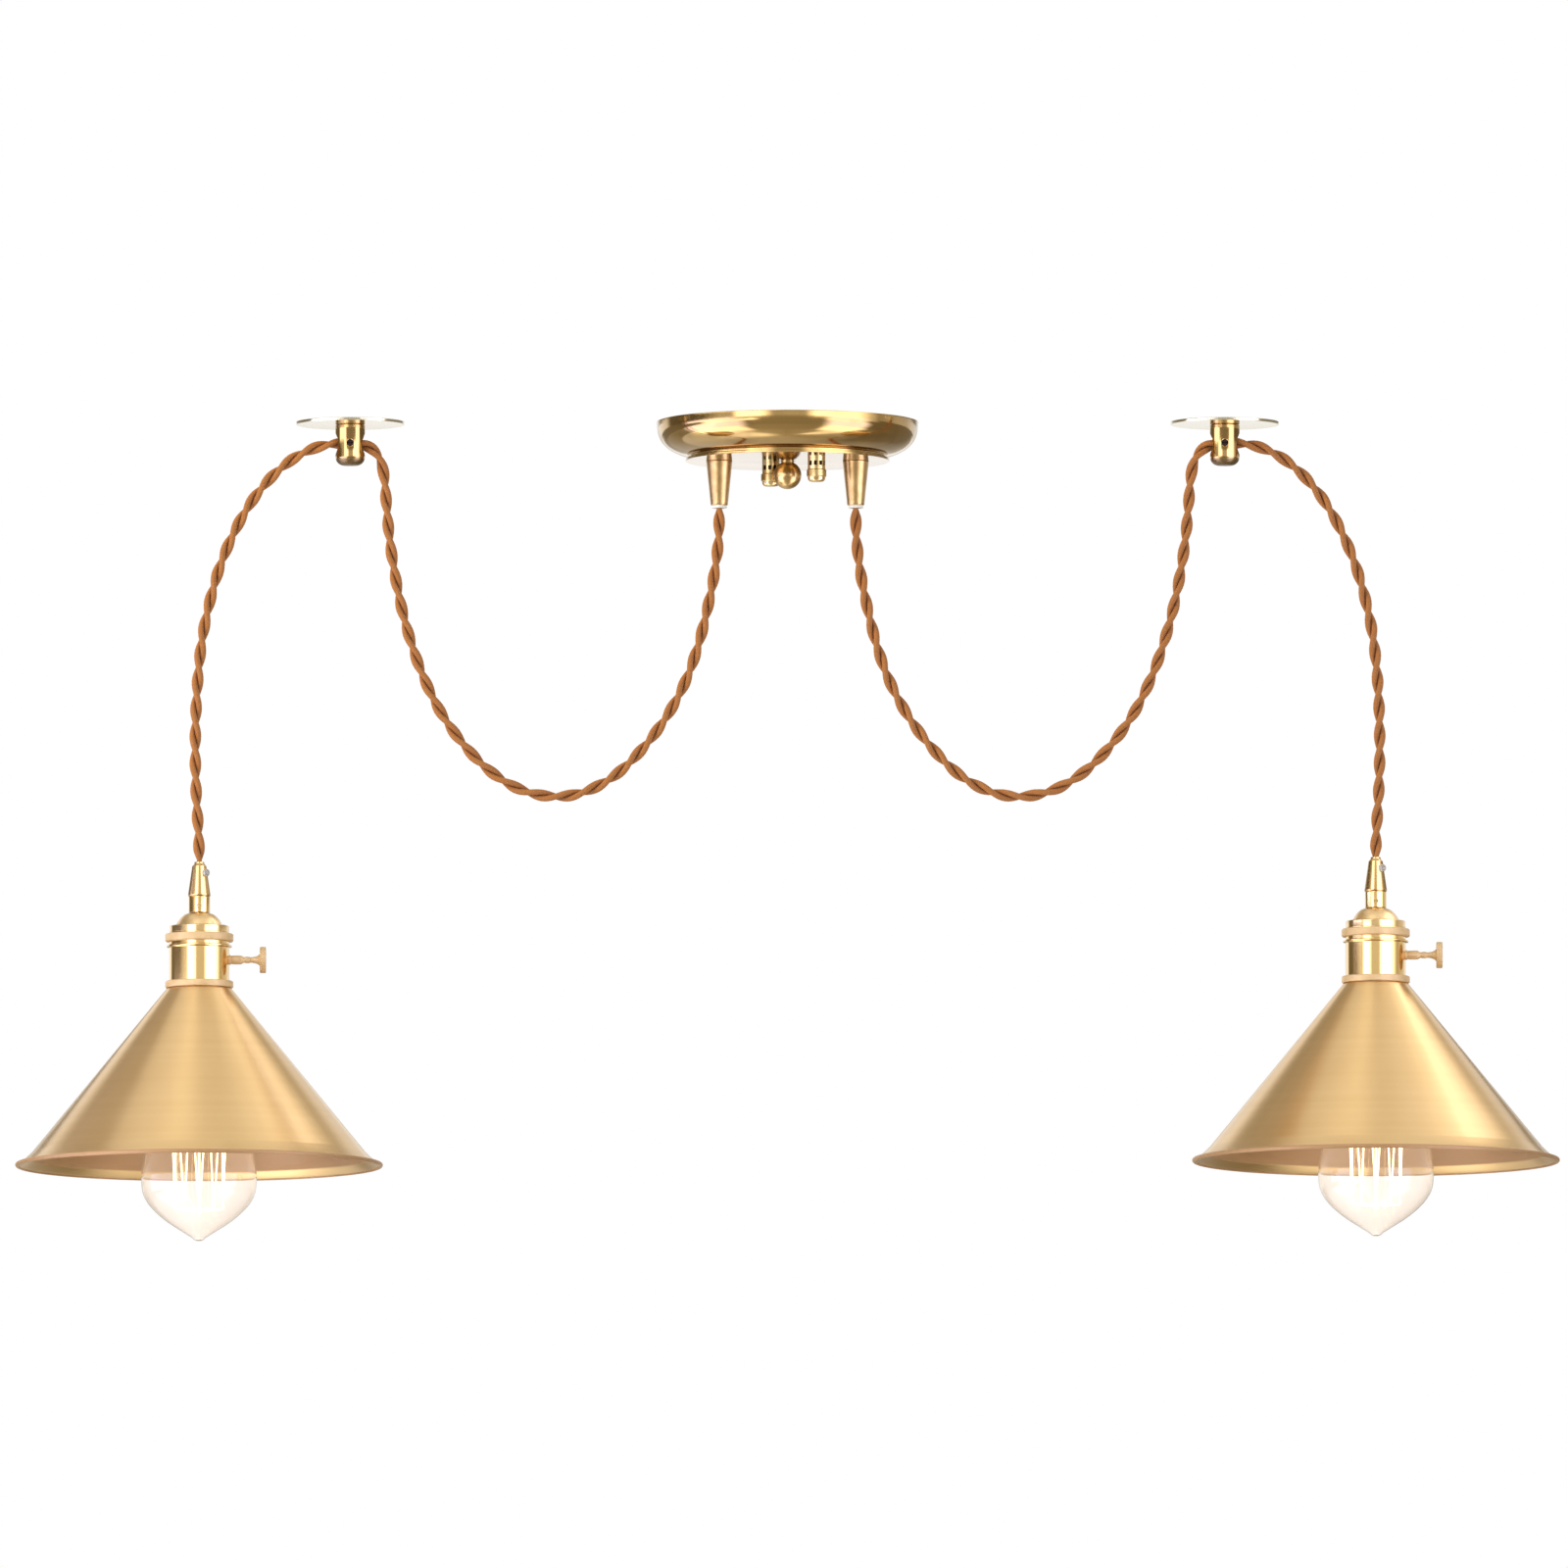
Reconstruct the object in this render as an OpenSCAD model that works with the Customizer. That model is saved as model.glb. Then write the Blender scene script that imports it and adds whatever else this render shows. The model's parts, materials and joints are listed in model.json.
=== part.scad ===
// Two-lamp swag pendant for a ceiling. A round canopy feeds two twisted cords. Each cord
// hangs in a loop, passes through a clamping ceiling hook and carries a key-switched
// lampholder with a conical spun shade. Sliding the cord through its hook raises or lowers
// the lamp. Millimetres, z = 0 is the ceiling, +Z is up and the front faces -Y.

/* [Canopy] */

// Diameter of the ceiling canopy
canopy_d = 150; // [136:1:180]
// Depth of the canopy from the ceiling to its underside
canopy_h = 22.5; // [21:0.5:30]
// Thickness of the canopy's spun sheet
canopy_t = 0.8; // [0.6:0.1:1.2]
// Distance between the two cord grips under the canopy
grip_spacing = 78; // [72:1:86]
// Diameter of the ball in the middle of the canopy
ball_d = 16; // [13:0.5:18]
// Distance between the two slots for the ceiling screws
slot_spacing = 60; // [54:1:64]

/* [Hooks] */

// Distance between the two ceiling hooks
hook_spacing = 500; // [470:1:530]
// Diameter of the hook's ceiling plate
plate_d = 62; // [50:1:70]
// Thickness of the hook's ceiling plate
plate_t = 1.6; // [1.2:0.1:2.5]
// Diameter of the hook's barrel
barrel_d = 17; // [16:0.5:20]
// Height of the hook's barrel below its plate
barrel_h = 23.4; // [22:0.2:28]
// Diameter of the cross bore that the cord slides through
bore_d = 9; // [8.6:0.1:9.6]

/* [Cords] */

// Diameter over both strands of the twisted cord
cord_d = 6.8; // [6:0.1:7]

/* [Lamps] */

// Distance between the axes of the two lamps
lamp_spacing = 672; // [640:1:700]
// Distance from the ceiling to the top of the left lamp's cord grip
lamp_drop = 252.5; // [235:0.5:290]
// How much higher the right lamp hangs than the left one
right_lift = 2.8; // [0:0.1:10]
// Diameter of the lampholder's body
holder_d = 34.5; // [34:0.1:37]
// Diameter of the two threaded rings on the lampholder
ring_d = 39; // [38.6:0.1:42]
// Diameter of the switch knob
knob_d = 15; // [12:0.5:18]

/* [Shades] */

// Diameter of the shade at its rim
shade_d = 210; // [190:1:240]
// Height of the shade
shade_h = 102.6; // [94:0.2:115]
// Diameter of the shade's flat top
shade_top_d = 36.4; // [36:0.1:38]
// Thickness of the shade's spun sheet
shade_t = 0.8; // [0.6:0.1:1.2]

/* [Bulbs] */

// Largest diameter of the bulb
bulb_d = 66; // [60:1:70]
// Length of the bulb from its contact to its tip
bulb_l = 149; // [144:1:155]

/* [Hidden] */

// Clearances
slip = 0.05;          // a turning or threaded fit, each side
seat = 0.02;          // between nested fixed cylinders, each side
soft_gap = 0.3;       // between the cord and what it passes
bulb_gap = 0.3;       // between the bulb's cap and the socket's thread
past = 1;             // how far a cut runs past a face
round_fn = 96;

// Canopy
canopy_r = canopy_d / 2;
face_r = 0.777 * canopy_r;
face_t = 1.5;
grip_x = grip_spacing / 2;
nipple_r = 5;
bracket_t = 1.5;
bracket_end = 6;
bracket_w = 18;
slot_w = 5;
slot_l = 12;
bracket_l = slot_spacing + slot_l + 2 * bracket_end;
stud_r = 2;
stud_reach = 10;
stud_hex = 4.04;
stud_hex_h = 3;
left_stud = [-9.5, 10.2];
right_stud = [16.6, -17.9];
stud_arm_w = 12;
stud_pad_r = 7;
nut_r = 5.6;
nut_h = 13.5;
nut_neck_r = 5;
nut_neck_h = 6.2;
nut_ring_h = 3.6;
nut_round = 0.5;
nut_foot = [[4.9, 12.2], [4, 13.2], [2.8, 13.5]];
nut_slots = 16;
nut_slot_w = 0.7;
nut_slot_h = 4.4;
nut_slot_in = 0.5;
ball_r = ball_d / 2;
finial_stem_r = 2.5;
finial_neck_r = 3.6;
lock_t = 3;
inside_z = canopy_t - canopy_h;
nipple_bore_r = 3.5;
nipple_up = 10;
nipple_down = 12;
nipple_top = inside_z + nipple_up;
nipple_low = -canopy_h - nipple_down;
nipple_hex_r = 8.1;
grip_l = 25.2;
grip_top_r = 7.5;
grip_low_r = 4.9;
bush_r = 3.6;
bush_flange_r = 4.3;
bush_flange_t = 1.8;
bush_l = 9;
bush_bore_r = 2.6;
cord_top_z = -canopy_h - grip_l - bush_flange_t;

// Terminals
block_l = 30;
block_w = 12;
block_h = 10;
block_y = -3;
block_pitch = 9.5;
wire_r = 1.1;
wire_y = 1.3;
wire_bend = 7;

// Hooks
hook_x = hook_spacing / 2;
plate_r = plate_d / 2;
boss_r = 5;
boss_h = 5;
screw_hole_r = 2.25;
head_r = 4.2;
head_h = 2.8;
barrel_r = barrel_d / 2;
barrel_round = 5;
bore_r = bore_d / 2;
bore_drop = 10.9;
bore_z = -plate_t - bore_drop;
flare_l = 3.5;
flare_r = bore_r + 1.9;
grub_r = 2;
grub_recess = 0.5;
grub_slot = 0.8;

// Cord routes, from the canopy to the hook and from the hook to the lamp, as x and z
cord_r = cord_d / 2;
cord_sides = 12;
swag_route = [[39, -49.5], [39.5, -68], [42, -88], [46, -108], [51, -128], [58, -148],
    [68.5, -168], [82.5, -187], [99, -203], [117, -212.5], [135, -214.8], [153.5, -210.5],
    [171, -199.5], [186, -184], [198.5, -166], [208, -146.5], [215, -127], [220.5, -107],
    [224.5, -87], [227.5, -67], [229.3, -47], [230.8, -30], [234, -19.5], [240.5, -13.7],
    [250, -12.5]];
drop_route = [[250, -12.5], [260, -12.5], [272, -15.5], [284, -22], [296, -32.5],
    [307, -46.5], [316, -62.5], [324, -81.5], [330, -102], [334.5, -124], [337, -147],
    [338.2, -170], [338.4, -193], [337.8, -215], [336.6, -235], [336, -252.5]];

// Lamps, measured down from the top of the cord grip
lamp_x = lamp_spacing / 2;
lamp_grip_l = 19.5;
lamp_grip_top_r = 4.15;
lamp_grip_low_r = 6.5;
lamp_wire_r = 2.3;
nylon_r = 2;
nylon_z = -6.4;
nylon_turn = -45;
nylon_in = 2.7;
nylon_out = 6.4;
collar_l = 9.5;
collar_r = 6.15;
collar_screw_r = 1.5;
collar_screw_z = -25.5;
collar_screw_out = 0.6;
cap_top = -lamp_grip_l - collar_l;
dome_h = 7.5;
dome_r = 0.391 * holder_d;
skirt_h = 4;
skirt_in = 0.25;
skirt_r = holder_d / 2 - skirt_in;
cap_t = 1;
body_top = cap_top - dome_h - skirt_h;
body_r = holder_d / 2;
body_h = 27.8;
body_t = 1.4;
body_low = body_top - body_h;
sleeve_r = 15;
sleeve_t = 0.9;
sleeve_l = 24.2;
sleeve_low = body_low - sleeve_l;
lip_drop = 7;
lip_out = 1.4;
lip_top = body_top - lip_drop;
lip_h = 1.7;
lip_r = body_r + lip_out;
ring_r = ring_d / 2;
upper_ring_drop = 0.7;
upper_ring_top = body_top - upper_ring_drop;
upper_ring_h = 4.5;
lower_ring_h = 3.9;
shade_top = body_low - lower_ring_h;
inner_ring_h = 4;
insulator_low = body_low + body_t;
insulator_r = body_r - body_t - seat;
insulator_h = 7;
shell_r = sleeve_r - sleeve_t - seat;
shell_t = 0.45;
shell_top = insulator_low;
shell_up = 1;
shell_low = sleeve_low + shell_up;
contact_r = 3.5;
contact_h = 1.2;

// Switch key, measured out from the lamp's axis
key_drop = 15.6;
key_z = body_top - key_drop;
key_r = 2.8;
key_in = 11;
key_out = 0.5;
key_stem = [[2.25, 18.3], [2.5, 19.3], [2.5, 23.6], [1.9, 24.9], [1.6, 25.7], [1.85, 26.8],
    [1.85, 28.2], [1.6, 29.4], [1.75, 31], [2.3, 33]];
key_flare_r = 3.5;
knob_x = 34.6;
knob_t = 3.5;
knob_r = knob_d / 2;
knob_teeth = 40;
knob_cut = 0.25;

// Shades
shade_r = shade_d / 2;
shade_top_r = shade_top_d / 2;
inner_ring_in = 0.5;
inner_ring_r = shade_top_r - shade_t - inner_ring_in;
shade_hole_r = sleeve_r + slip;
bead_r = 1.2;
flare_in = 10;
flare_h = 8.6;

// Bulbs
bulb_r = bulb_d / 2;
glass_t = 0.8;
form_r = 33;
form_l = 149;
bulb_form = [[14.19, 33], [17.16, 46], [23.76, 68], [29.7, 91], [32.67, 108], [33, 114],
    [32.2, 121], [30, 126], [26.6, 130.4], [22, 134.8], [16.8, 138.8], [11.8, 142], [7.4, 144.8],
    [4.1, 146.9], [2.3, 148.4], [0, 149]];
bulb_top = shell_top - contact_h - soft_gap;
cap_r = shell_r - shell_t - bulb_gap;
cap_l = 25;
cap_tip_r = 4.8;
cap_tip_h = 3.5;
glass_out = 0.35;
glass_tip = 0.3;
cage_wires = 10;
cage_r = 0.25 * bulb_d;
cage_low_r = 0.215 * bulb_d;
cage_top = bulb_top - 0.36 * bulb_l;
cage_low = bulb_top - 0.875 * bulb_l;
wire_t = 0.35;
stem_r = 5;

// Geometry helpers
function unit(v) = v / norm(v);
function rev(p) = [for (i = [len(p) - 1:-1:0]) p[i]];
function heading(p, i) = unit(p[min(i + 1, len(p) - 1)] - p[max(i - 1, 0)]);
// A polyline moved sideways by t, with mitred corners
function aside(p, t) = [for (i = [0:len(p) - 1]) let (
    a = unit(p[max(i, 1)] - p[max(i, 1) - 1]),
    b = unit(p[min(i, len(p) - 2) + 1] - p[min(i, len(p) - 2)]),
    m = unit(a + b))
    p[i] + [-m.y, m.x] * t / max(0.5, m * a)];
// A sheet of thickness t on one side of a profile
function sheet(p, t) = concat(p, rev(aside(p, t)));
// A smooth curve through the points, n steps to each span
function smooth(p, n) = concat([for (i = [0:len(p) - 2], k = [0:n - 1]) let (
    a = p[max(i - 1, 0)], b = p[i], c = p[i + 1], d = p[min(i + 2, len(p) - 1)], t = k / n)
    (2 * b + (c - a) * t + (2 * a - 5 * b + 4 * c - d) * t * t
    + (3 * b - a - 3 * c + d) * t * t * t) / 2], [p[len(p) - 1]]);
// A route stretched so that it starts at a and ends at b
function moved(p, a, b) = let (n = len(p) - 1)
    [for (i = [0:n]) p[i] + (1 - i / n) * (a - p[0]) + i / n * (b - p[n])];

swag_path = moved(swag_route, [grip_x, cord_top_z], [hook_x, bore_z]);
function drop_path(lift) = moved(drop_route, [hook_x, bore_z], [lamp_x, lift - lamp_drop]);

// A tube along a route in the XZ plane, whose ends point along first and last
module tube(p, r, sides, first, last) {
    n = len(p) - 1;
    points = [for (i = [0:n], k = [0:sides - 1]) let (
        d = i == 0 ? first : i == n ? last : heading(p, i),
        a = 360 * k / sides)
        [p[i].x - r * cos(a) * d.y, r * sin(a), p[i].y + r * cos(a) * d.x]];
    sides_a = [for (i = [0:n - 1], k = [0:sides - 1])
        [i * sides + k, (i + 1) * sides + k, (i + 1) * sides + (k + 1) % sides]];
    sides_b = [for (i = [0:n - 1], k = [0:sides - 1])
        [i * sides + k, (i + 1) * sides + (k + 1) % sides, i * sides + (k + 1) % sides]];
    end_a = [for (k = [0:sides - 1]) k];
    end_b = [for (k = [sides - 1:-1:0]) n * sides + k];
    polyhedron(concat(points), concat(sides_a, sides_b, [end_a], [end_b]));
}

// A straight rod between two points
module rod(a, b, r) {
    d = b - a;
    translate(a)
        rotate([0, acos(d.z / norm(d)), atan2(d.y, d.x)])
            cylinder(r = r, h = norm(d), $fn = 24);
}

module hex(r, h) { cylinder(r = r, h = h, $fn = 6); }

module stud_places() {
    translate([left_stud.x, left_stud.y, 0]) children();
    translate([right_stud.x, right_stud.y, 0]) children();
}

module slots() {
    for (s = [-1, 1]) translate([s * slot_spacing / 2, 0, -bracket_t - past]) {
        for (e = [-1, 1]) translate([e * (slot_l - slot_w) / 2, 0, 0])
            cylinder(d = slot_w, h = bracket_t + 2 * past, $fn = 48);
        translate([(slot_w - slot_l) / 2, -slot_w / 2, 0])
            cube([slot_l - slot_w, slot_w, bracket_t + 2 * past]);
    }
}

// Canopy
module ceiling_bracket() {
    reach = right_stud - left_stud;
    color("silver") difference() {
        translate([0, 0, -bracket_t]) union() {
            translate([-bracket_l / 2, -bracket_w / 2, 0])
                cube([bracket_l, bracket_w, bracket_t]);
            translate([left_stud.x, left_stud.y, 0])
                rotate([0, 0, atan2(reach.y, reach.x)])
                    translate([0, -stud_arm_w / 2, 0])
                        cube([norm(reach), stud_arm_w, bracket_t]);
            stud_places() cylinder(r = stud_pad_r, h = bracket_t, $fn = 48);
        }
        slots();
    }
}

module bracket_studs() {
    color("silver") stud_places() {
        translate([0, 0, -canopy_h - stud_reach])
            cylinder(r = stud_r, h = canopy_h + stud_reach - bracket_t, $fn = 48);
        translate([0, 0, -bracket_t - stud_hex_h]) hex(stud_hex, stud_hex_h);
    }
}

module canopy_cover() {
    edge = smooth([for (q = [[1, 0], [0.992, 0.258], [0.965, 0.484], [0.909, 0.671],
        [0.827, 0.809], [0.753, 0.871]]) [q.x * canopy_r, -q.y * canopy_h]], 3);
    inner = [for (q = rev(aside(edge, -canopy_t))) [q.x, min(q.y, 0)]];
    neck = edge[len(edge) - 1];
    color("goldenrod") difference() {
        rotate_extrude($fn = round_fn) polygon(concat(inner, edge,
            [[neck.x, face_t - canopy_h], [face_r, face_t - canopy_h],
            [face_r, -canopy_h], [0, -canopy_h], [0, inside_z],
            [neck.x - canopy_t, inside_z]]));
        for (s = [-1, 1]) translate([s * grip_x, 0, -canopy_h - past])
            cylinder(r = nipple_r + seat, h = canopy_t + 2 * past, $fn = 48);
        translate([0, 0, -canopy_h - past])
            cylinder(r = finial_stem_r + seat, h = canopy_t + 2 * past, $fn = 48);
        stud_places() translate([0, 0, -canopy_h - past])
            cylinder(r = stud_r + seat, h = canopy_t + 2 * past, $fn = 48);
    }
}

module knurled_nuts() {
    ring_top = nut_neck_h + nut_round;
    ring_foot = ring_top + nut_ring_h;
    edge = concat([[0, 0], [nut_neck_r, 0], [nut_neck_r, nut_neck_h], [nut_r, ring_top],
        [nut_r, ring_foot], [nut_r - nut_round, ring_foot + nut_round]], nut_foot, [[0, nut_h]]);
    color("peru") stud_places() translate([0, 0, -canopy_h]) difference() {
        mirror([0, 0, 1]) rotate_extrude($fn = 48) polygon(edge);
        translate([0, 0, -stud_reach - soft_gap])
            cylinder(r = stud_r + seat, h = stud_reach + soft_gap + past, $fn = 48);
        for (k = [0:nut_slots - 1]) rotate([0, 0, 360 * k / nut_slots])
            translate([nut_neck_r - nut_slot_in, -nut_slot_w / 2, nut_round - nut_neck_h])
                cube([past, nut_slot_w, nut_slot_h]);
    }
}

module ball_finial() {
    color("peru") union() {
        translate([0, 0, -canopy_h - ball_r]) sphere(r = ball_r, $fn = 64);
        translate([0, 0, -canopy_h - 2]) cylinder(r = finial_neck_r, h = 2, $fn = 48);
        translate([0, 0, -canopy_h - 2])
            cylinder(r = finial_stem_r, h = 2 + canopy_t + lock_t + 1, $fn = 48);
    }
}

module finial_lock_nut() {
    color("silver") translate([0, 0, inside_z]) difference() {
        hex(4.9, lock_t);
        translate([0, 0, -past])
            cylinder(r = finial_stem_r + seat, h = lock_t + 2 * past, $fn = 48);
    }
}

module canopy_grip() {
    color("goldenrod") difference() {
        translate([0, 0, -canopy_h - grip_l])
            cylinder(r1 = grip_low_r, r2 = grip_top_r, h = grip_l, $fn = 64);
        translate([0, 0, -canopy_h - grip_l - past])
            cylinder(r = bush_r + seat, h = grip_l + 2 * past, $fn = 48);
        translate([0, 0, nipple_low])
            cylinder(r = nipple_r + seat, h = -nipple_low, $fn = 48);
    }
}

module left_canopy_grip() { translate([-grip_x, 0, 0]) canopy_grip(); }
module right_canopy_grip() { translate([grip_x, 0, 0]) canopy_grip(); }

module grip_nipples() {
    color("silver") for (s = [-1, 1]) translate([s * grip_x, 0, nipple_low]) difference() {
        cylinder(r = nipple_r, h = nipple_top - nipple_low, $fn = 48);
        translate([0, 0, -past])
            cylinder(r = nipple_bore_r, h = nipple_top - nipple_low + 2 * past, $fn = 48);
    }
}

module grip_lock_nuts() {
    color("silver") for (s = [-1, 1]) translate([s * grip_x, 0, inside_z]) difference() {
        hex(nipple_hex_r, lock_t);
        translate([0, 0, -past]) cylinder(r = nipple_r + seat, h = lock_t + 2 * past, $fn = 48);
    }
}

module grip_bushes() {
    color("white") for (s = [-1, 1]) translate([s * grip_x, 0, cord_top_z]) difference() {
        union() {
            cylinder(r = bush_flange_r, h = bush_flange_t, $fn = 48);
            cylinder(r = bush_r, h = bush_l, $fn = 48);
        }
        translate([0, 0, -past]) cylinder(r = bush_bore_r, h = bush_l + 2 * past, $fn = 48);
    }
}

module terminal_block() {
    color("white") translate([-block_l / 2, block_y - block_w / 2, -bracket_t - block_h])
        difference() {
            cube([block_l, block_w, block_h]);
            for (k = [-1:1]) translate([block_l / 2 + k * block_pitch, block_w / 2, -past])
                cylinder(r = 2.2, h = 5 + past, $fn = 32);
        }
}

module terminal_screws() {
    color("silver") for (k = [-1:1])
        translate([k * block_pitch, block_y, -bracket_t - block_h + 1.5]) difference() {
            cylinder(r = 2.2 - slip, h = 3.5, $fn = 32);
            translate([-3, -0.35, -past]) cube([6, 0.7, past + 0.8]);
        }
}

module canopy_wires() {
    level = -bracket_t - block_h / 2;
    route = concat([[grip_x, nipple_low + 1.5]], [for (a = [0:18:90])
        [grip_x - wire_bend * (1 - cos(a)), level - wire_bend * (1 - sin(a))]],
        [[block_l / 2, level]]);
    color("sienna") for (s = [0, 180], w = [-wire_y, wire_y]) rotate([0, 0, s])
        translate([0, w, 0]) tube(route, wire_r, 8, [0, 1], [-1, 0]);
}

// Hooks
module hook_plate() {
    color("gold") difference() {
        union() {
            translate([0, 0, -plate_t]) cylinder(r = plate_r, h = plate_t, $fn = round_fn);
            translate([0, 0, -plate_t - boss_h])
                cylinder(r = boss_r, h = boss_h + plate_t / 2, $fn = 48);
        }
        translate([0, 0, -plate_t - boss_h - past])
            cylinder(r = screw_hole_r, h = boss_h + plate_t + 2 * past, $fn = 48);
        translate([0, 0, -plate_t - boss_h])
            cylinder(r1 = head_r, r2 = screw_hole_r, h = head_h, $fn = 48);
    }
}

module hook_barrel() {
    low = barrel_round - barrel_h;
    edge = concat([[0, 0], [barrel_r, 0]], [for (a = [0:15:90])
        [barrel_r - barrel_round + barrel_round * cos(a), low - barrel_round * sin(a)]],
        [[0, -barrel_h]]);
    color("gold") difference() {
        translate([0, 0, -plate_t]) rotate_extrude($fn = round_fn) polygon(edge);
        translate([0, 0, -plate_t - boss_h - seat])
            cylinder(r = boss_r + seat, h = boss_h + seat + past, $fn = 48);
        translate([-barrel_r - past, 0, bore_z]) rotate([0, 90, 0])
            cylinder(r = bore_r, h = barrel_d + 2 * past, $fn = 64);
        for (s = [0, 180]) rotate([0, 0, s]) translate([barrel_r - flare_l, 0, bore_z])
            rotate([0, 90, 0])
                cylinder(r1 = bore_r, r2 = flare_r, h = flare_l + past, $fn = 64);
        translate([0, 0, bore_z]) rotate([90, 0, 0])
            cylinder(r = grub_r + slip, h = barrel_r + past, $fn = 48);
    }
}

module hook_screw() {
    long = barrel_r - grub_recess - cord_r - soft_gap;
    color("dimgray") translate([0, -barrel_r + grub_recess, bore_z]) rotate([-90, 0, 0])
        difference() {
            cylinder(r = grub_r, h = long, $fn = 48);
            translate([-grub_r - past, -grub_slot / 2, -past])
                cube([2 * grub_r + 2 * past, grub_slot, past + 1.1]);
        }
}

module left_hook_plate() { translate([-hook_x, 0, 0]) hook_plate(); }
module left_hook_barrel() { translate([-hook_x, 0, 0]) hook_barrel(); }
module left_hook_screw() { translate([-hook_x, 0, 0]) hook_screw(); }
module right_hook_plate() { translate([hook_x, 0, 0]) hook_plate(); }
module right_hook_barrel() { translate([hook_x, 0, 0]) hook_barrel(); }
module right_hook_screw() { translate([hook_x, 0, 0]) hook_screw(); }

// Cords
module swag_cord() {
    color("chocolate") tube(swag_path, cord_r, cord_sides, [0, -1], [1, 0]);
}

module drop_cord(lift) {
    color("chocolate") tube(drop_path(lift), cord_r, cord_sides, [1, 0], [0, -1]);
}

module left_swag_cord() { rotate([0, 0, 180]) swag_cord(); }
module right_swag_cord() { swag_cord(); }
module left_drop_cord() { rotate([0, 0, 180]) drop_cord(0); }
module right_drop_cord() { drop_cord(right_lift); }

// Lamps
module left_lamp() { translate([-lamp_x, 0, -lamp_drop]) children(); }
module right_lamp() { translate([lamp_x, 0, right_lift - lamp_drop]) children(); }

module lamp_grip() {
    color("gold") difference() {
        translate([0, 0, -lamp_grip_l])
            cylinder(r1 = lamp_grip_low_r, r2 = lamp_grip_top_r, h = lamp_grip_l, $fn = 64);
        translate([0, 0, -lamp_grip_l - past])
            cylinder(r = lamp_wire_r, h = lamp_grip_l + 2 * past, $fn = 32);
        rotate([0, 0, nylon_turn]) translate([nylon_in, 0, nylon_z]) rotate([0, 90, 0])
            cylinder(r = nylon_r + seat, h = nylon_out, $fn = 32);
    }
}

module grip_screw() {
    color("white") rotate([0, 0, nylon_turn]) translate([nylon_in + seat, 0, nylon_z])
        rotate([0, 90, 0]) difference() {
            cylinder(r = nylon_r, h = nylon_out - nylon_in, $fn = 32);
            translate([-nylon_r - past, -0.3, nylon_out - nylon_in - 0.8])
                cube([2 * nylon_r + 2 * past, 0.6, past + 0.8]);
        }
}

module collar() {
    color("gold") translate([0, 0, cap_top]) difference() {
        cylinder(r = collar_r, h = collar_l, $fn = 64);
        translate([0, 0, -past]) cylinder(r = 3.6, h = collar_l + 2 * past, $fn = 48);
        translate([0, -3, collar_screw_z - cap_top]) rotate([90, 0, 0])
            cylinder(r = collar_screw_r + seat, h = collar_r, $fn = 32);
    }
}

module collar_screw() {
    color("gold") translate([0, -3.7, collar_screw_z]) rotate([90, 0, 0]) difference() {
        cylinder(r = collar_screw_r, h = collar_r - 3.7 + collar_screw_out, $fn = 32);
        translate([-collar_screw_r - past, -0.25, collar_r - 3.7 + collar_screw_out - 0.5])
            cube([2 * collar_screw_r + 2 * past, 0.5, past + 0.5]);
    }
}

module holder_cap() {
    edge = concat(smooth([[collar_r - 1.6, 0], [collar_r + 2.2, -1.2],
        [0.84 * dome_r, -3.9], [dome_r, -dome_h]], 3),
        [[skirt_r, -dome_h - 0.4], [skirt_r, -dome_h - skirt_h]]);
    color("gold") translate([0, 0, cap_top])
        rotate_extrude($fn = round_fn) polygon(sheet(edge, -cap_t));
}

module ring(top, h, r, hole) {
    edge = [[hole, 0], [r - 0.6, 0], [r, -0.6], [r, 0.6 - h], [r - 0.6, -h], [hole, -h]];
    color("gold") translate([0, 0, top]) rotate_extrude($fn = round_fn) polygon(edge);
}

module upper_ring() { ring(upper_ring_top, upper_ring_h, ring_r, body_r + seat); }
module lower_ring() { ring(body_low, lower_ring_h, ring_r, sleeve_r + seat); }
module inner_ring() {
    ring(shade_top - shade_t, inner_ring_h, inner_ring_r, sleeve_r + seat);
}

module holder_body() {
    edge = [[body_r, body_top], [body_r, lip_top], [lip_r, lip_top - 0.4],
        [lip_r, lip_top - lip_h + 0.4], [body_r, lip_top - lip_h], [body_r, body_low],
        [sleeve_r, body_low], [sleeve_r, sleeve_low], [sleeve_r - sleeve_t, sleeve_low],
        [sleeve_r - sleeve_t, body_low + body_t], [body_r - body_t, body_low + body_t],
        [body_r - body_t, body_top]];
    color("gold") difference() {
        rotate_extrude($fn = round_fn) polygon(edge);
        translate([0, 0, key_z]) rotate([0, 90, 0])
            cylinder(r = key_r + slip, h = body_r + past, $fn = 48);
    }
}

module insulator() {
    color("white") translate([0, 0, insulator_low]) difference() {
        cylinder(r = insulator_r, h = insulator_h, $fn = 64);
        for (s = [-1, 1]) translate([s * insulator_r / 2, 0, -past])
            cylinder(r = 1.6, h = insulator_h + 2 * past, $fn = 24);
    }
}

module thread_shell() {
    edge = [for (k = [0:12]) [k % 2 == 0 ? shell_r : shell_r - 0.12,
        shell_top - k * (shell_top - shell_low) / 12]];
    color("silver") rotate_extrude($fn = round_fn) polygon(concat(edge,
        [for (q = rev(edge)) [q.x - shell_t, q.y]]));
}

module centre_contact() {
    color("gold") translate([0, 0, shell_top - contact_h])
        cylinder(r = contact_r, h = contact_h, $fn = 32);
}

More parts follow.
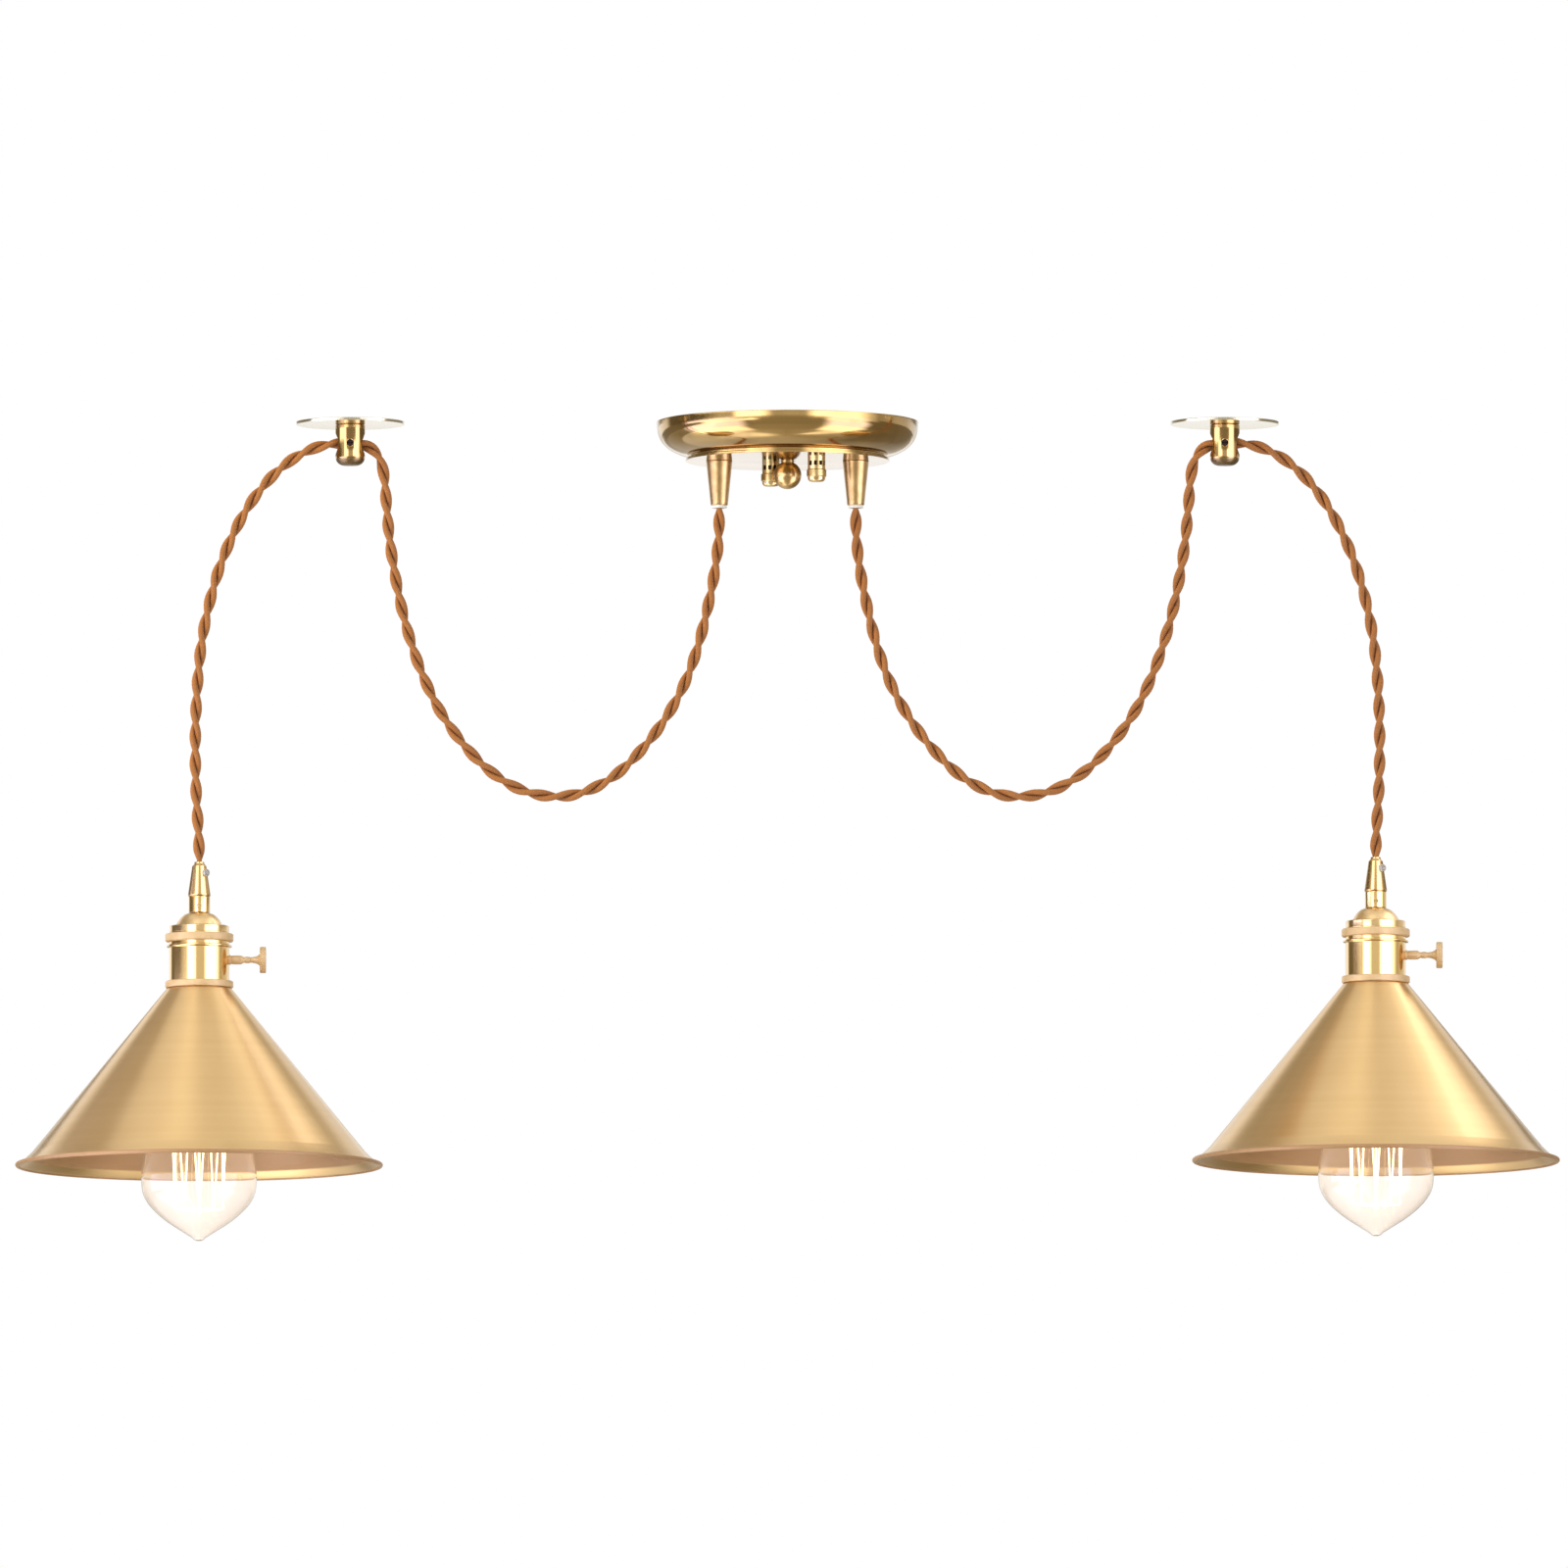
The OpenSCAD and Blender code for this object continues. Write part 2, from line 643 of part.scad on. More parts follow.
module switch_key() {
    edge = concat([[0, key_in], [key_r, key_in], [key_r, body_r + key_out]],
        smooth(concat(key_stem, [[key_flare_r, knob_x]]), 3), [[0, knob_x]]);
    rim = [for (k = [0:2 * knob_teeth - 1]) let (a = 180 * k / knob_teeth,
        r = k % 2 == 0 ? knob_r : knob_r - knob_cut) [r * cos(a), r * sin(a)]];
    color("gold") translate([0, 0, key_z]) rotate([0, 90, 0]) union() {
        rotate_extrude($fn = 64) polygon(edge);
        translate([0, 0, knob_x]) linear_extrude(knob_t) polygon(rim);
    }
}

module shade() {
    cone = [shade_r - flare_in, flare_h - shade_h];
    edge = concat([[shade_hole_r, 0], [shade_top_r, 0]],
        smooth([cone, [shade_r - 6.2, 4.9 - shade_h], [shade_r - 3, 2.2 - shade_h],
        [shade_r - bead_r, -shade_h + bead_r]], 3));
    color("goldenrod") translate([0, 0, shade_top]) union() {
        rotate_extrude($fn = round_fn) polygon(sheet(edge, -shade_t));
        rotate_extrude($fn = round_fn) translate([shade_r - bead_r, bead_r - shade_h])
            circle(r = bead_r, $fn = 24);
    }
}

module bulb_glass() {
    edge = smooth(concat([[cap_r + glass_out, -cap_l]],
        [for (q = bulb_form) [q.x * bulb_r / form_r, -q.y * bulb_l / form_l]]), 3);
    whole = aside(edge, -glass_t);
    inner = [for (i = [3 * 10:-1:0]) whole[i]];
    color("lightyellow") translate([0, 0, bulb_top])
        rotate_extrude($fn = round_fn) polygon(concat(edge, [[0, inner[0].y - glass_tip]], inner));
}

module bulb_cap() {
    thread = [for (k = [0:12]) [k % 2 == 0 ? cap_r : cap_r - 0.35,
        -cap_tip_h - 2 - k * (cap_l - cap_tip_h - 2) / 12]];
    color("silver") translate([0, 0, bulb_top]) rotate_extrude($fn = 64)
        polygon(concat([[0, 0], [cap_tip_r, 0], [cap_tip_r + 1, -1], [cap_r - 3, -cap_tip_h],
        [cap_r - 0.4, -cap_tip_h - 1]], thread, [[cap_r - 1, -cap_l], [0, -cap_l]]));
}

module spider(r, z, turn) {
    translate([0, 0, z - wire_t]) rotate([0, 0, turn]) linear_extrude(2 * wire_t)
        for (k = [0:cage_wires / 2 - 1]) rotate(360 * k / cage_wires)
            square([2 * r + 1, 1], center = true);
}

module filament() {
    high = bulb_top - cap_l;
    half = 180 / cage_wires;
    color("orange") union() {
        translate([0, 0, cage_top]) cylinder(r1 = 1, r2 = stem_r, h = high - cage_top, $fn = 32);
        translate([0, 0, cage_low - 3]) cylinder(r = 1, h = cage_top - cage_low + 3.5, $fn = 24);
        spider(cage_r, cage_top, 0);
        spider(cage_low_r, cage_low, half);
        for (k = [0:cage_wires - 1]) let (a = 2 * k * half, b = a + half)
            rod([cage_r * cos(a), cage_r * sin(a), cage_top],
                [cage_low_r * cos(b), cage_low_r * sin(b), cage_low], wire_t);
    }
}

module left_lamp_grip() { left_lamp() lamp_grip(); }
module left_grip_screw() { left_lamp() grip_screw(); }
module left_collar() { left_lamp() collar(); }
module left_collar_screw() { left_lamp() collar_screw(); }
module left_holder_cap() { left_lamp() holder_cap(); }
module left_upper_ring() { left_lamp() upper_ring(); }
module left_holder_body() { left_lamp() holder_body(); }
module left_lower_ring() { left_lamp() lower_ring(); }
module left_inner_ring() { left_lamp() inner_ring(); }
module left_insulator() { left_lamp() insulator(); }
module left_thread_shell() { left_lamp() thread_shell(); }
module left_centre_contact() { left_lamp() centre_contact(); }
module left_switch_key() { left_lamp() switch_key(); }
module left_shade() { left_lamp() shade(); }
module left_bulb_glass() { left_lamp() bulb_glass(); }
module left_bulb_cap() { left_lamp() bulb_cap(); }
module left_filament() { left_lamp() filament(); }
module right_lamp_grip() { right_lamp() lamp_grip(); }
module right_grip_screw() { right_lamp() grip_screw(); }
module right_collar() { right_lamp() collar(); }
module right_collar_screw() { right_lamp() collar_screw(); }
module right_holder_cap() { right_lamp() holder_cap(); }
module right_upper_ring() { right_lamp() upper_ring(); }
module right_holder_body() { right_lamp() holder_body(); }
module right_lower_ring() { right_lamp() lower_ring(); }
module right_inner_ring() { right_lamp() inner_ring(); }
module right_insulator() { right_lamp() insulator(); }
module right_thread_shell() { right_lamp() thread_shell(); }
module right_centre_contact() { right_lamp() centre_contact(); }
module right_switch_key() { right_lamp() switch_key(); }
module right_shade() { right_lamp() shade(); }
module right_bulb_glass() { right_lamp() bulb_glass(); }
module right_bulb_cap() { right_lamp() bulb_cap(); }
module right_filament() { right_lamp() filament(); }

ceiling_bracket();
bracket_studs();
canopy_cover();
knurled_nuts();
ball_finial();
finial_lock_nut();
left_canopy_grip();
right_canopy_grip();
grip_nipples();
grip_lock_nuts();
grip_bushes();
terminal_block();
terminal_screws();
canopy_wires();
left_hook_plate();
left_hook_barrel();
left_hook_screw();
right_hook_plate();
right_hook_barrel();
right_hook_screw();
left_swag_cord();
left_drop_cord();
right_swag_cord();
right_drop_cord();
left_lamp_grip();
left_grip_screw();
left_collar();
left_collar_screw();
left_holder_cap();
left_upper_ring();
left_holder_body();
left_lower_ring();
left_inner_ring();
left_insulator();
left_thread_shell();
left_centre_contact();
left_switch_key();
left_shade();
left_bulb_glass();
left_bulb_cap();
left_filament();
right_lamp_grip();
right_grip_screw();
right_collar();
right_collar_screw();
right_holder_cap();
right_upper_ring();
right_holder_body();
right_lower_ring();
right_inner_ring();
right_insulator();
right_thread_shell();
right_centre_contact();
right_switch_key();
right_shade();
right_bulb_glass();
right_bulb_cap();
right_filament();
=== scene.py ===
import bpy
import bmesh
import json
import math
from mathutils import Matrix, Vector

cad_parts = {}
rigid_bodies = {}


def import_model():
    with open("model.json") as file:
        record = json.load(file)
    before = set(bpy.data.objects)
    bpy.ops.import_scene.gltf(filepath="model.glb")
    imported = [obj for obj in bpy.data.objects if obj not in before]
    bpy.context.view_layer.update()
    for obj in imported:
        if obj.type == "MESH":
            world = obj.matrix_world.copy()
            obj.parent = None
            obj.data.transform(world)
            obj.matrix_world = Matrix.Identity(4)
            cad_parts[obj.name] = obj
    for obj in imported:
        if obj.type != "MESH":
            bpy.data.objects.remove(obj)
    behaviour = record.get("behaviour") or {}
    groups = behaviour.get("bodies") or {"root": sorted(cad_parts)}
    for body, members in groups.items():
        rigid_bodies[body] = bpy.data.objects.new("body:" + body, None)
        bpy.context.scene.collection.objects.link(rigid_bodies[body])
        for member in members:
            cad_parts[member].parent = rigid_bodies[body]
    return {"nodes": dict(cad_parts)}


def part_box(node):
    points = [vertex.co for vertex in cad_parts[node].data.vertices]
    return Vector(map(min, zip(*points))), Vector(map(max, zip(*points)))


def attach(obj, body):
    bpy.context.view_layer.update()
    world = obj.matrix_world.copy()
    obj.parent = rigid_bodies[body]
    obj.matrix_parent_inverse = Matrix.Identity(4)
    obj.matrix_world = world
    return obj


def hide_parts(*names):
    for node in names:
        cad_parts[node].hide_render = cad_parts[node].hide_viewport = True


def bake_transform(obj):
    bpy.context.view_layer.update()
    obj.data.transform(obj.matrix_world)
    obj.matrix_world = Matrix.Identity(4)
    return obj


# Two-lamp swag pendant: a brass canopy, twisted fabric cords through two ceiling hooks,
# and two key-switched lampholders with spun shades and clear bulbs

for leftOver in list(bpy.data.objects):
    bpy.data.objects.remove(leftOver)
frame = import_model()
scene = bpy.context.scene
nodes = frame["nodes"]
mm = 0.001
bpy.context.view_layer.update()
print("frame loaded:", len(nodes), "nodes")

sides = {"left": -1, "right": 1}
lampTop = {side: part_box(side + "_lamp_grip")[1].z for side in sides}  # top of each cord grip
lampX = {"left": -0.336, "right": 0.336}
hookX = {"left": -0.25, "right": 0.25}

cameraSet = {"aim": (-0.0020, 0.0, -0.2077), "distance": 25.0, "below": 5.0, "lens": 1004.5}
tilt = math.radians(cameraSet["below"])
looking = Vector((0, math.cos(tilt), math.sin(tilt)))
cameraData = bpy.data.cameras.new("photoCamera")
cameraData.lens = cameraSet["lens"]
cameraData.sensor_width = 36
cameraData.clip_end = 200
camera = bpy.data.objects.new("photoCamera", cameraData)
scene.collection.objects.link(camera)
camera.location = Vector(cameraSet["aim"]) - looking * cameraSet["distance"]
camera.rotation_mode = "QUATERNION"
camera.rotation_quaternion = looking.to_track_quat("-Z", "Y")
scene.camera = camera
scene.view_settings.view_transform = "Standard"
print("camera placed")


def tone(code):  # a screen colour as linear values
    parts = [int(code[i:i + 2], 16) / 255 for i in (0, 2, 4)]
    return [p / 12.92 if p <= 0.04045 else ((p + 0.055) / 1.055) ** 2.4 for p in parts] + [1]


def put(tree, kind, inputs=None, **choices):
    node = tree.nodes.new("ShaderNode" + kind)
    for name, value in choices.items():
        setattr(node, name, value)
    for name, value in (inputs or {}).items():
        if isinstance(value, bpy.types.NodeSocket):
            tree.links.new(value, node.inputs[name])
        else:
            node.inputs[name].default_value = value
    return node


def blankMaterial(name, fixed):
    material = bpy.data.materials.new(name)
    material.use_nodes = True
    tree = material.node_tree
    shader = tree.nodes["Principled BSDF"]
    for socket, value in fixed.items():
        shader.inputs[socket].default_value = value
    return material, tree, shader


def feed(tree, shader, links):  # joins node outputs to the shader's sockets
    for socket, value in links.items():
        tree.links.new(value, shader.inputs[socket])


def sums(tree, operation, a, b=0.5, c=0.5):  # one maths node
    return put(tree, "Math", {0: a, 1: b, 2: c}, operation=operation).outputs[0]


def stretchTo(tree, value, low, high):  # 0..1 to low..high
    return put(tree, "MapRange", {0: value, 3: low, 4: high}).outputs[0]


def fadeIn(tree, value, start, full):  # start..full to 0..1
    return put(tree, "MapRange", {0: value, 1: start, 2: full}).outputs[0]


def splitUp(tree, place):  # x, y and z
    return put(tree, "SeparateXYZ", {0: place}).outputs


def fromAxis(tree, parts):  # distance from the Z axis
    return sums(tree, "SQRT", sums(tree, "ADD", sums(tree, "MULTIPLY", parts[0], parts[0]),
        sums(tree, "MULTIPLY", parts[1], parts[1])))


def blendTones(tree, amount, first, second):
    mixed = put(tree, "Mix", {0: amount, 6: first, 7: second}, data_type="RGBA")
    return mixed.outputs[2]


def cloud(tree, where, size, detail=3.0):  # soft noise
    return put(tree, "TexNoise", {"Vector": where, "Scale": size, "Detail": detail}).outputs[0]


def objectPlace(tree, centre=(0, 0, 0)):  # a point on the object, measured from centre
    place = put(tree, "TexCoord").outputs["Object"]
    return put(tree, "Mapping", {"Vector": place, "Location": [-c for c in centre]}).outputs[0]


def roundTangent(tree):  # along the turning, for anisotropic brass
    return put(tree, "Tangent", direction_type="UV_MAP", uv_map="round").outputs[0]


def roughen(tree, shader, height, depth, strength):
    bump = put(tree, "Bump", {"Height": height, "Distance": depth, "Strength": strength})
    feed(tree, shader, {"Normal": bump.outputs[0]})


def arc(x, z, radius, first, last, count):
    return [(x + radius * math.cos(math.radians(first + (last - first) * i / count)),
        z + radius * math.sin(math.radians(first + (last - first) * i / count)))
        for i in range(count + 1)]


def flowing(points, steps):  # a smooth line through the points
    line = []
    for i in range(len(points) - 1):
        a, b = points[max(i - 1, 0)], points[i]
        c, d = points[i + 1], points[min(i + 2, len(points) - 1)]
        for k in range(steps):
            t = k / steps
            line.append(tuple((2 * b[j] + (c[j] - a[j]) * t + (2 * a[j] - 5 * b[j] + 4 * c[j]
                - d[j]) * t * t + (3 * b[j] - a[j] - 3 * c[j] + d[j]) * t ** 3) / 2
                for j in range(len(b))))
    return line + [tuple(points[-1])]


def backed(profile, thickness):  # a profile with its other face, as a closed loop
    line = [Vector(p) for p in profile]
    other = []
    for i, p in enumerate(line):
        a = (line[max(i, 1)] - line[max(i, 1) - 1]).normalized()
        b = (line[min(i, len(line) - 2) + 1] - line[min(i, len(line) - 2)]).normalized()
        m = (a + b).normalized()
        other.append(p + Vector((-m.y, m.x)) * thickness / max(0.5, m.dot(a)))
    return [tuple(p) for p in line] + [tuple(p) for p in reversed(other)]


def turned(profile, steps=96, closed=False):  # radius and height in mm, about Z
    bm = bmesh.new()
    points = [bm.verts.new((r * mm, 0, z * mm)) for r, z in profile]
    line = [bm.edges.new(pair) for pair in zip(points, points[1:])]
    if closed:
        line.append(bm.edges.new((points[-1], points[0])))
    bmesh.ops.spin(bm, geom=points + line, cent=(0, 0, 0), axis=(0, 0, 1),
        angle=2 * math.pi, steps=steps, use_merge=True)
    bmesh.ops.remove_doubles(bm, verts=bm.verts, dist=1e-7)
    bmesh.ops.recalc_face_normals(bm, faces=bm.faces)
    return bm


def sharpEdges(bm, angle):
    return [e for e in bm.edges if len(e.link_faces) == 2
        and e.calc_face_angle(0) > math.radians(angle)]


def softenEdges(bm, size, angle=28, segments=2):
    bmesh.ops.bevel(bm, geom=sharpEdges(bm, angle), offset=size * mm, offset_type="OFFSET",
        segments=segments, profile=0.5, affect="EDGES", material=-1, clamp_overlap=True)


def markSharp(bm, angle):
    sharp = set(sharpEdges(bm, angle))
    for e in bm.edges:
        e.smooth = e not in sharp


def wrapUv(bm, axis=2):  # u runs round the axis once, v along it, 20 to a metre
    layer = bm.loops.layers.uv.new("round")
    one, two = [(1, 2), (2, 0), (0, 1)][axis]
    for face in bm.faces:
        spots = [math.atan2(l.vert.co[two], l.vert.co[one]) / (2 * math.pi) for l in face.loops]
        for l, u in zip(face.loops, spots):
            l[layer].uv = (u + 1 if max(spots) - u > 0.5 else u, l.vert.co[axis] * 20)


def newVerts(made):
    return [v for v in made["geom"] if isinstance(v, bmesh.types.BMVert)]


def pushIn(bm, faces, scale):  # sinks faces towards the Z axis, with walls round them
    made = newVerts(bmesh.ops.extrude_face_region(bm, geom=faces))
    bmesh.ops.delete(bm, geom=faces, context="FACES")
    bmesh.ops.scale(bm, verts=made, vec=(scale, scale, 1))
    return made


def stepOf(point, steps):  # which of the steps round the Z axis a point is in
    return int((math.atan2(point.y, point.x) / (2 * math.pi) % 1) * steps)


def meshObject(name, bm):
    mesh = bpy.data.meshes.new(name)
    bm.to_mesh(mesh)
    bm.free()
    thing = bpy.data.objects.new(name, mesh)
    scene.collection.objects.link(thing)
    return thing


def camel(node):  # left_lamp_grip to leftLampGrip
    first, *rest = node.split("_")
    return first + "".join(word.capitalize() for word in rest)


def addPiece(node, bm, body, look, at=(0, 0, 0), name="", weighted=True):
    bmesh.ops.translate(bm, verts=bm.verts, vec=at)
    piece = meshObject(name or camel(node), bm)
    piece.data.materials.append(finish[look])
    piece.data.shade_smooth()
    if weighted:
        normals = piece.modifiers.new("faceNormals", "WEIGHTED_NORMAL")
        normals.weight = 50
        normals.keep_sharp = True
    if body:
        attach(piece, body)
    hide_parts(node)
    return piece


def turnedPiece(node, outline, body, look, at=(0, 0, 0), steps=96, soft=0.15,
        angle=28, closed=True, name=""):
    bm = turned(outline, steps, closed)
    softenEdges(bm, soft, angle)
    wrapUv(bm)
    return addPiece(node, bm, body, look, at, name)


def joined(parts):  # several meshes in one
    whole = bmesh.new()
    for bm in parts:
        part = bpy.data.meshes.new("part")
        bm.to_mesh(part)
        bm.free()
        whole.from_mesh(part)
        bpy.data.meshes.remove(part)
    return whole


def tidyCopy(node, soft=0.0, angle=30):  # a merged copy of a CAD node's mesh
    bm = bmesh.new()
    bm.from_mesh(nodes[node].data)
    bmesh.ops.remove_doubles(bm, verts=bm.verts, dist=1e-6)
    bmesh.ops.dissolve_limit(bm, angle_limit=math.radians(0.5), verts=bm.verts, edges=bm.edges)
    if soft:
        softenEdges(bm, soft, angle)
    markSharp(bm, angle)
    return bm


# the hook end and slot tones are painted shade, and the inside tone is partly painted shade
brassSet = {"polished": "E9C584", "polishedDeep": "D8B06C", "satin": "D4B484",
    "satinDeep": "C4A26E", "dome": "E6C68E", "domeDeep": "D4AE76", "hook": "BE9C64",
    "hookDeep": "A07C48", "hookEnd": "665030", "plate": "EAE3CE", "plateDeep": "DED3B4",
    "plateBack": "7C6640", "shade": "E6C48C", "shadeDeep": "CDA568", "inside": "B48A5C",
    "brushed": "C09E60", "brushedDeep": "A4824A", "patina": "6A4A2C", "grip": "C6A470",
    "gripDeep": "A88654", "aged": "D0B078", "agedDeep": "A8844E", "nut": "E2CA94",
    "nutDeep": "BC9A60", "slot": "2C1C10"}


def brassTone(tree, amount, light, deep):
    return blendTones(tree, amount, tone(brassSet[light]), tone(brassSet[deep]))


def mirrorBrass(name, light, deep, rough, coat=0.6, bump=(0.00002, 0.25), darkRoughBand=None):
    # lacquered and polished; over a range of heights, where one is given, rougher and darker, and
    # on the hook's rounded end that darker tone is painted shade
    material, tree, shader = blankMaterial(name, {"Metallic": 1, "Coat Weight": coat,
        "Coat Roughness": 0.05})
    place = objectPlace(tree)
    fine = cloud(tree, place, 900, 5)
    colour = brassTone(tree, stretchTo(tree, cloud(tree, place, 55), 0, 0.6), light, deep)
    gloss = stretchTo(tree, fine, *rough)
    if darkRoughBand:
        part = fadeIn(tree, splitUp(tree, place)[2], *darkRoughBand["heights"])
        colour = blendTones(tree, part, colour, tone(brassSet[darkRoughBand["tone"]]))
        gloss = sums(tree, "MULTIPLY_ADD", part, darkRoughBand["rough"], gloss)
    feed(tree, shader, {"Base Color": colour, "Roughness": gloss})
    roughen(tree, shader, fine, *bump)
    return material


def turnedBrass(side):  # the cap: a satin dome over a bright skirt
    material, tree, shader = blankMaterial(side + "TurnedBrass", {"Metallic": 1,
        "Coat Weight": 0.4, "Coat Roughness": 0.15})
    place = objectPlace(tree, (lampX[side], 0, lampTop[side]))
    fine = cloud(tree, place, 700, 4)
    dome = fadeIn(tree, splitUp(tree, place)[2], -0.0370, -0.0364)
    feed(tree, shader, {
        "Base Color": brassTone(tree, stretchTo(tree, fine, 0, 0.7), "dome", "domeDeep"),
        "Roughness": sums(tree, "MULTIPLY_ADD", dome, 0.22, stretchTo(tree, fine, 0.1, 0.16))})
    roughen(tree, shader, fine, 0.00003, 0.3)
    return material


def spunBrass(side):  # fine rings left by the spinning tool, about the lamp's axis
    material, tree, shader = blankMaterial(side + "SpunBrass", {"Anisotropic": 0.8,
        "Anisotropic Rotation": 0.25, "Coat Weight": 0.25, "Coat Roughness": 0.12})
    place = objectPlace(tree, (lampX[side], 0, lampTop[side]))
    height = put(tree, "CombineXYZ", {2: splitUp(tree, place)[2]}).outputs[0]
    rings = cloud(tree, height, 2600, 4)
    blotch = sums(tree, "ADD", cloud(tree, height, 260, 2), cloud(tree, place, 26))
    outside = brassTone(tree, sums(tree, "MULTIPLY", blotch, 0.42), "shade", "shadeDeep")
    # the inner wall is rougher and less metallic, and its darker copper tone is partly painted
    # shade; the bead takes the same tone as painted shade
    wall = put(tree, "Attribute", attribute_name="inside").outputs["Fac"]
    feed(tree, shader, {
        "Base Color": blendTones(tree, wall, outside, tone(brassSet["inside"])),
        "Roughness": sums(tree, "MULTIPLY_ADD", wall, 0.32, stretchTo(tree, rings, 0.26, 0.38)),
        "Metallic": stretchTo(tree, wall, 1, 0.3), "Tangent": roundTangent(tree)})
    roughen(tree, shader, rings, 0.00003, 0.35)
    return material


def brushedBrass():  # canopy: antique brass with brushing round it
    material, tree, shader = blankMaterial("brushedBrass", {"Metallic": 1, "Anisotropic": 0.4,
        "Anisotropic Rotation": 0.25, "Coat Weight": 0.5, "Coat Roughness": 0.08})
    place = objectPlace(tree)
    parts = splitUp(tree, place)
    spot = put(tree, "CombineXYZ", {0: fromAxis(tree, parts), 2: parts[2]}).outputs[0]
    lines = cloud(tree, spot, 1500, 4)
    stain = fadeIn(tree, cloud(tree, place, 38, 4), 0.46, 0.75)
    warm = brassTone(tree, stretchTo(tree, lines, 0, 0.6), "brushed", "brushedDeep")
    feed(tree, shader, {
        "Base Color": blendTones(tree, sums(tree, "MULTIPLY", stain, 0.45), warm,
            tone(brassSet["patina"])),
        "Roughness": stretchTo(tree, lines, 0.07, 0.15), "Tangent": roundTangent(tree)})
    roughen(tree, shader, lines, 0.00003, 0.4)
    return material


def satinBrass(name, light, deep, rough, metal=1.0, shadeMask=""):
    material, tree, shader = blankMaterial(name, {"Metallic": metal, "Coat Weight": 0.25,
        "Coat Roughness": 0.2})
    place = objectPlace(tree)
    patches = cloud(tree, place, 160, 4)
    colour = brassTone(tree, fadeIn(tree, patches, 0.3, 0.75), light, deep)
    if shadeMask:  # an attribute marking cut-outs, painted near black as shade
        cut = put(tree, "Attribute", attribute_name=shadeMask).outputs["Fac"]
        colour = blendTones(tree, cut, colour, tone(brassSet["slot"]))
    feed(tree, shader, {"Base Color": colour, "Roughness": stretchTo(tree, patches, *rough)})
    roughen(tree, shader, cloud(tree, place, 1400, 3), 0.00003, 0.3)
    return material


def plainFinish(name, first, second, size, rough, metal, bump, fixed=None):
    material, tree, shader = blankMaterial(name, {"Metallic": metal, **(fixed or {})})
    place = objectPlace(tree)
    grain = cloud(tree, place, size, 4)
    feed(tree, shader, {"Base Color": blendTones(tree, grain, tone(first), tone(second)),
        "Roughness": stretchTo(tree, grain, *rough)})
    roughen(tree, shader, cloud(tree, place, size * 4, 3), bump, 0.4)
    return material


# the fourth tone is painted shade for where the two strands meet
cordFinish = {"caramel": "B26E2C", "light": "D4934A", "dark": "8E4C18", "hollow": "70380F",
    "threads": 14, "step": 0.0011}


def cordFabric():  # a braided cotton sleeve: u runs along the strand in metres, v round it
    material, tree, shader = blankMaterial("cordFabric", {"Roughness": 0.82, "Sheen Weight": 0.25,
        "Sheen Roughness": 0.45, "Sheen Tint": tone("E0A868"), "Specular IOR Level": 0.25})
    spot = splitUp(tree, put(tree, "UVMap", uv_map="strand").outputs[0])
    along = sums(tree, "MULTIPLY", spot[0], 2 * math.pi / cordFinish["step"])
    around = sums(tree, "MULTIPLY", spot[1], 2 * math.pi * cordFinish["threads"])
    left, right = (sums(tree, "SINE", sums(tree, way, along, around)) for way in
        ("ADD", "SUBTRACT"))
    weave = fadeIn(tree, sums(tree, "MULTIPLY", left, right), -1, 1)
    place = objectPlace(tree)
    # lighter on the weave's raised crests and darker in its troughs: a braid pattern with painted
    # highlight and shade on its relief
    thread = blendTones(tree, stretchTo(tree, weave, 0, 0.75), tone(cordFinish["dark"]),
        tone(cordFinish["light"]))
    warm = blendTones(tree, stretchTo(tree, cloud(tree, place, 120), 0.1, 0.75), thread,
        tone(cordFinish["caramel"]))
    # painted shade darkens the strands where they meet
    hollow = put(tree, "Attribute", attribute_name="hollow").outputs["Fac"]
    feed(tree, shader,
        {"Base Color": blendTones(tree, hollow, warm, tone(cordFinish["hollow"]))})
    height = sums(tree, "ADD", sums(tree, "MULTIPLY", weave, 0.7),
        sums(tree, "MULTIPLY", cloud(tree, place, 3200), 0.3))
    roughen(tree, shader, height, 0.00011, 0.6)
    return material


def clearGlass():
    # the faint warm emission in the glass is painted glow, standing in for the filament's light
    material, tree, shader = blankMaterial("clearGlass", {"Transmission Weight": 1, "IOR": 1.45,
        "Roughness": 0.0, "Emission Color": tone("FFE9CE"), "Emission Strength": 0.045})
    swirl = cloud(tree, objectPlace(tree), 30)
    feed(tree, shader, {"Base Color": blendTones(tree, swirl, tone("FFFBF7"), tone("FDF8F2"))})
    roughen(tree, shader, swirl, 0.0004, 0.15)
    return material


def glowingWire():
    material, tree, shader = blankMaterial("glowingWire", {"Roughness": 0.5,
        "Base Color": tone("FFD27A"), "Emission Strength": 5.0})
    heat = cloud(tree, objectPlace(tree), 70)
    feed(tree, shader,
        {"Emission Color": blendTones(tree, heat, tone("FFF4C8"), tone("FFD684"))})
    return material


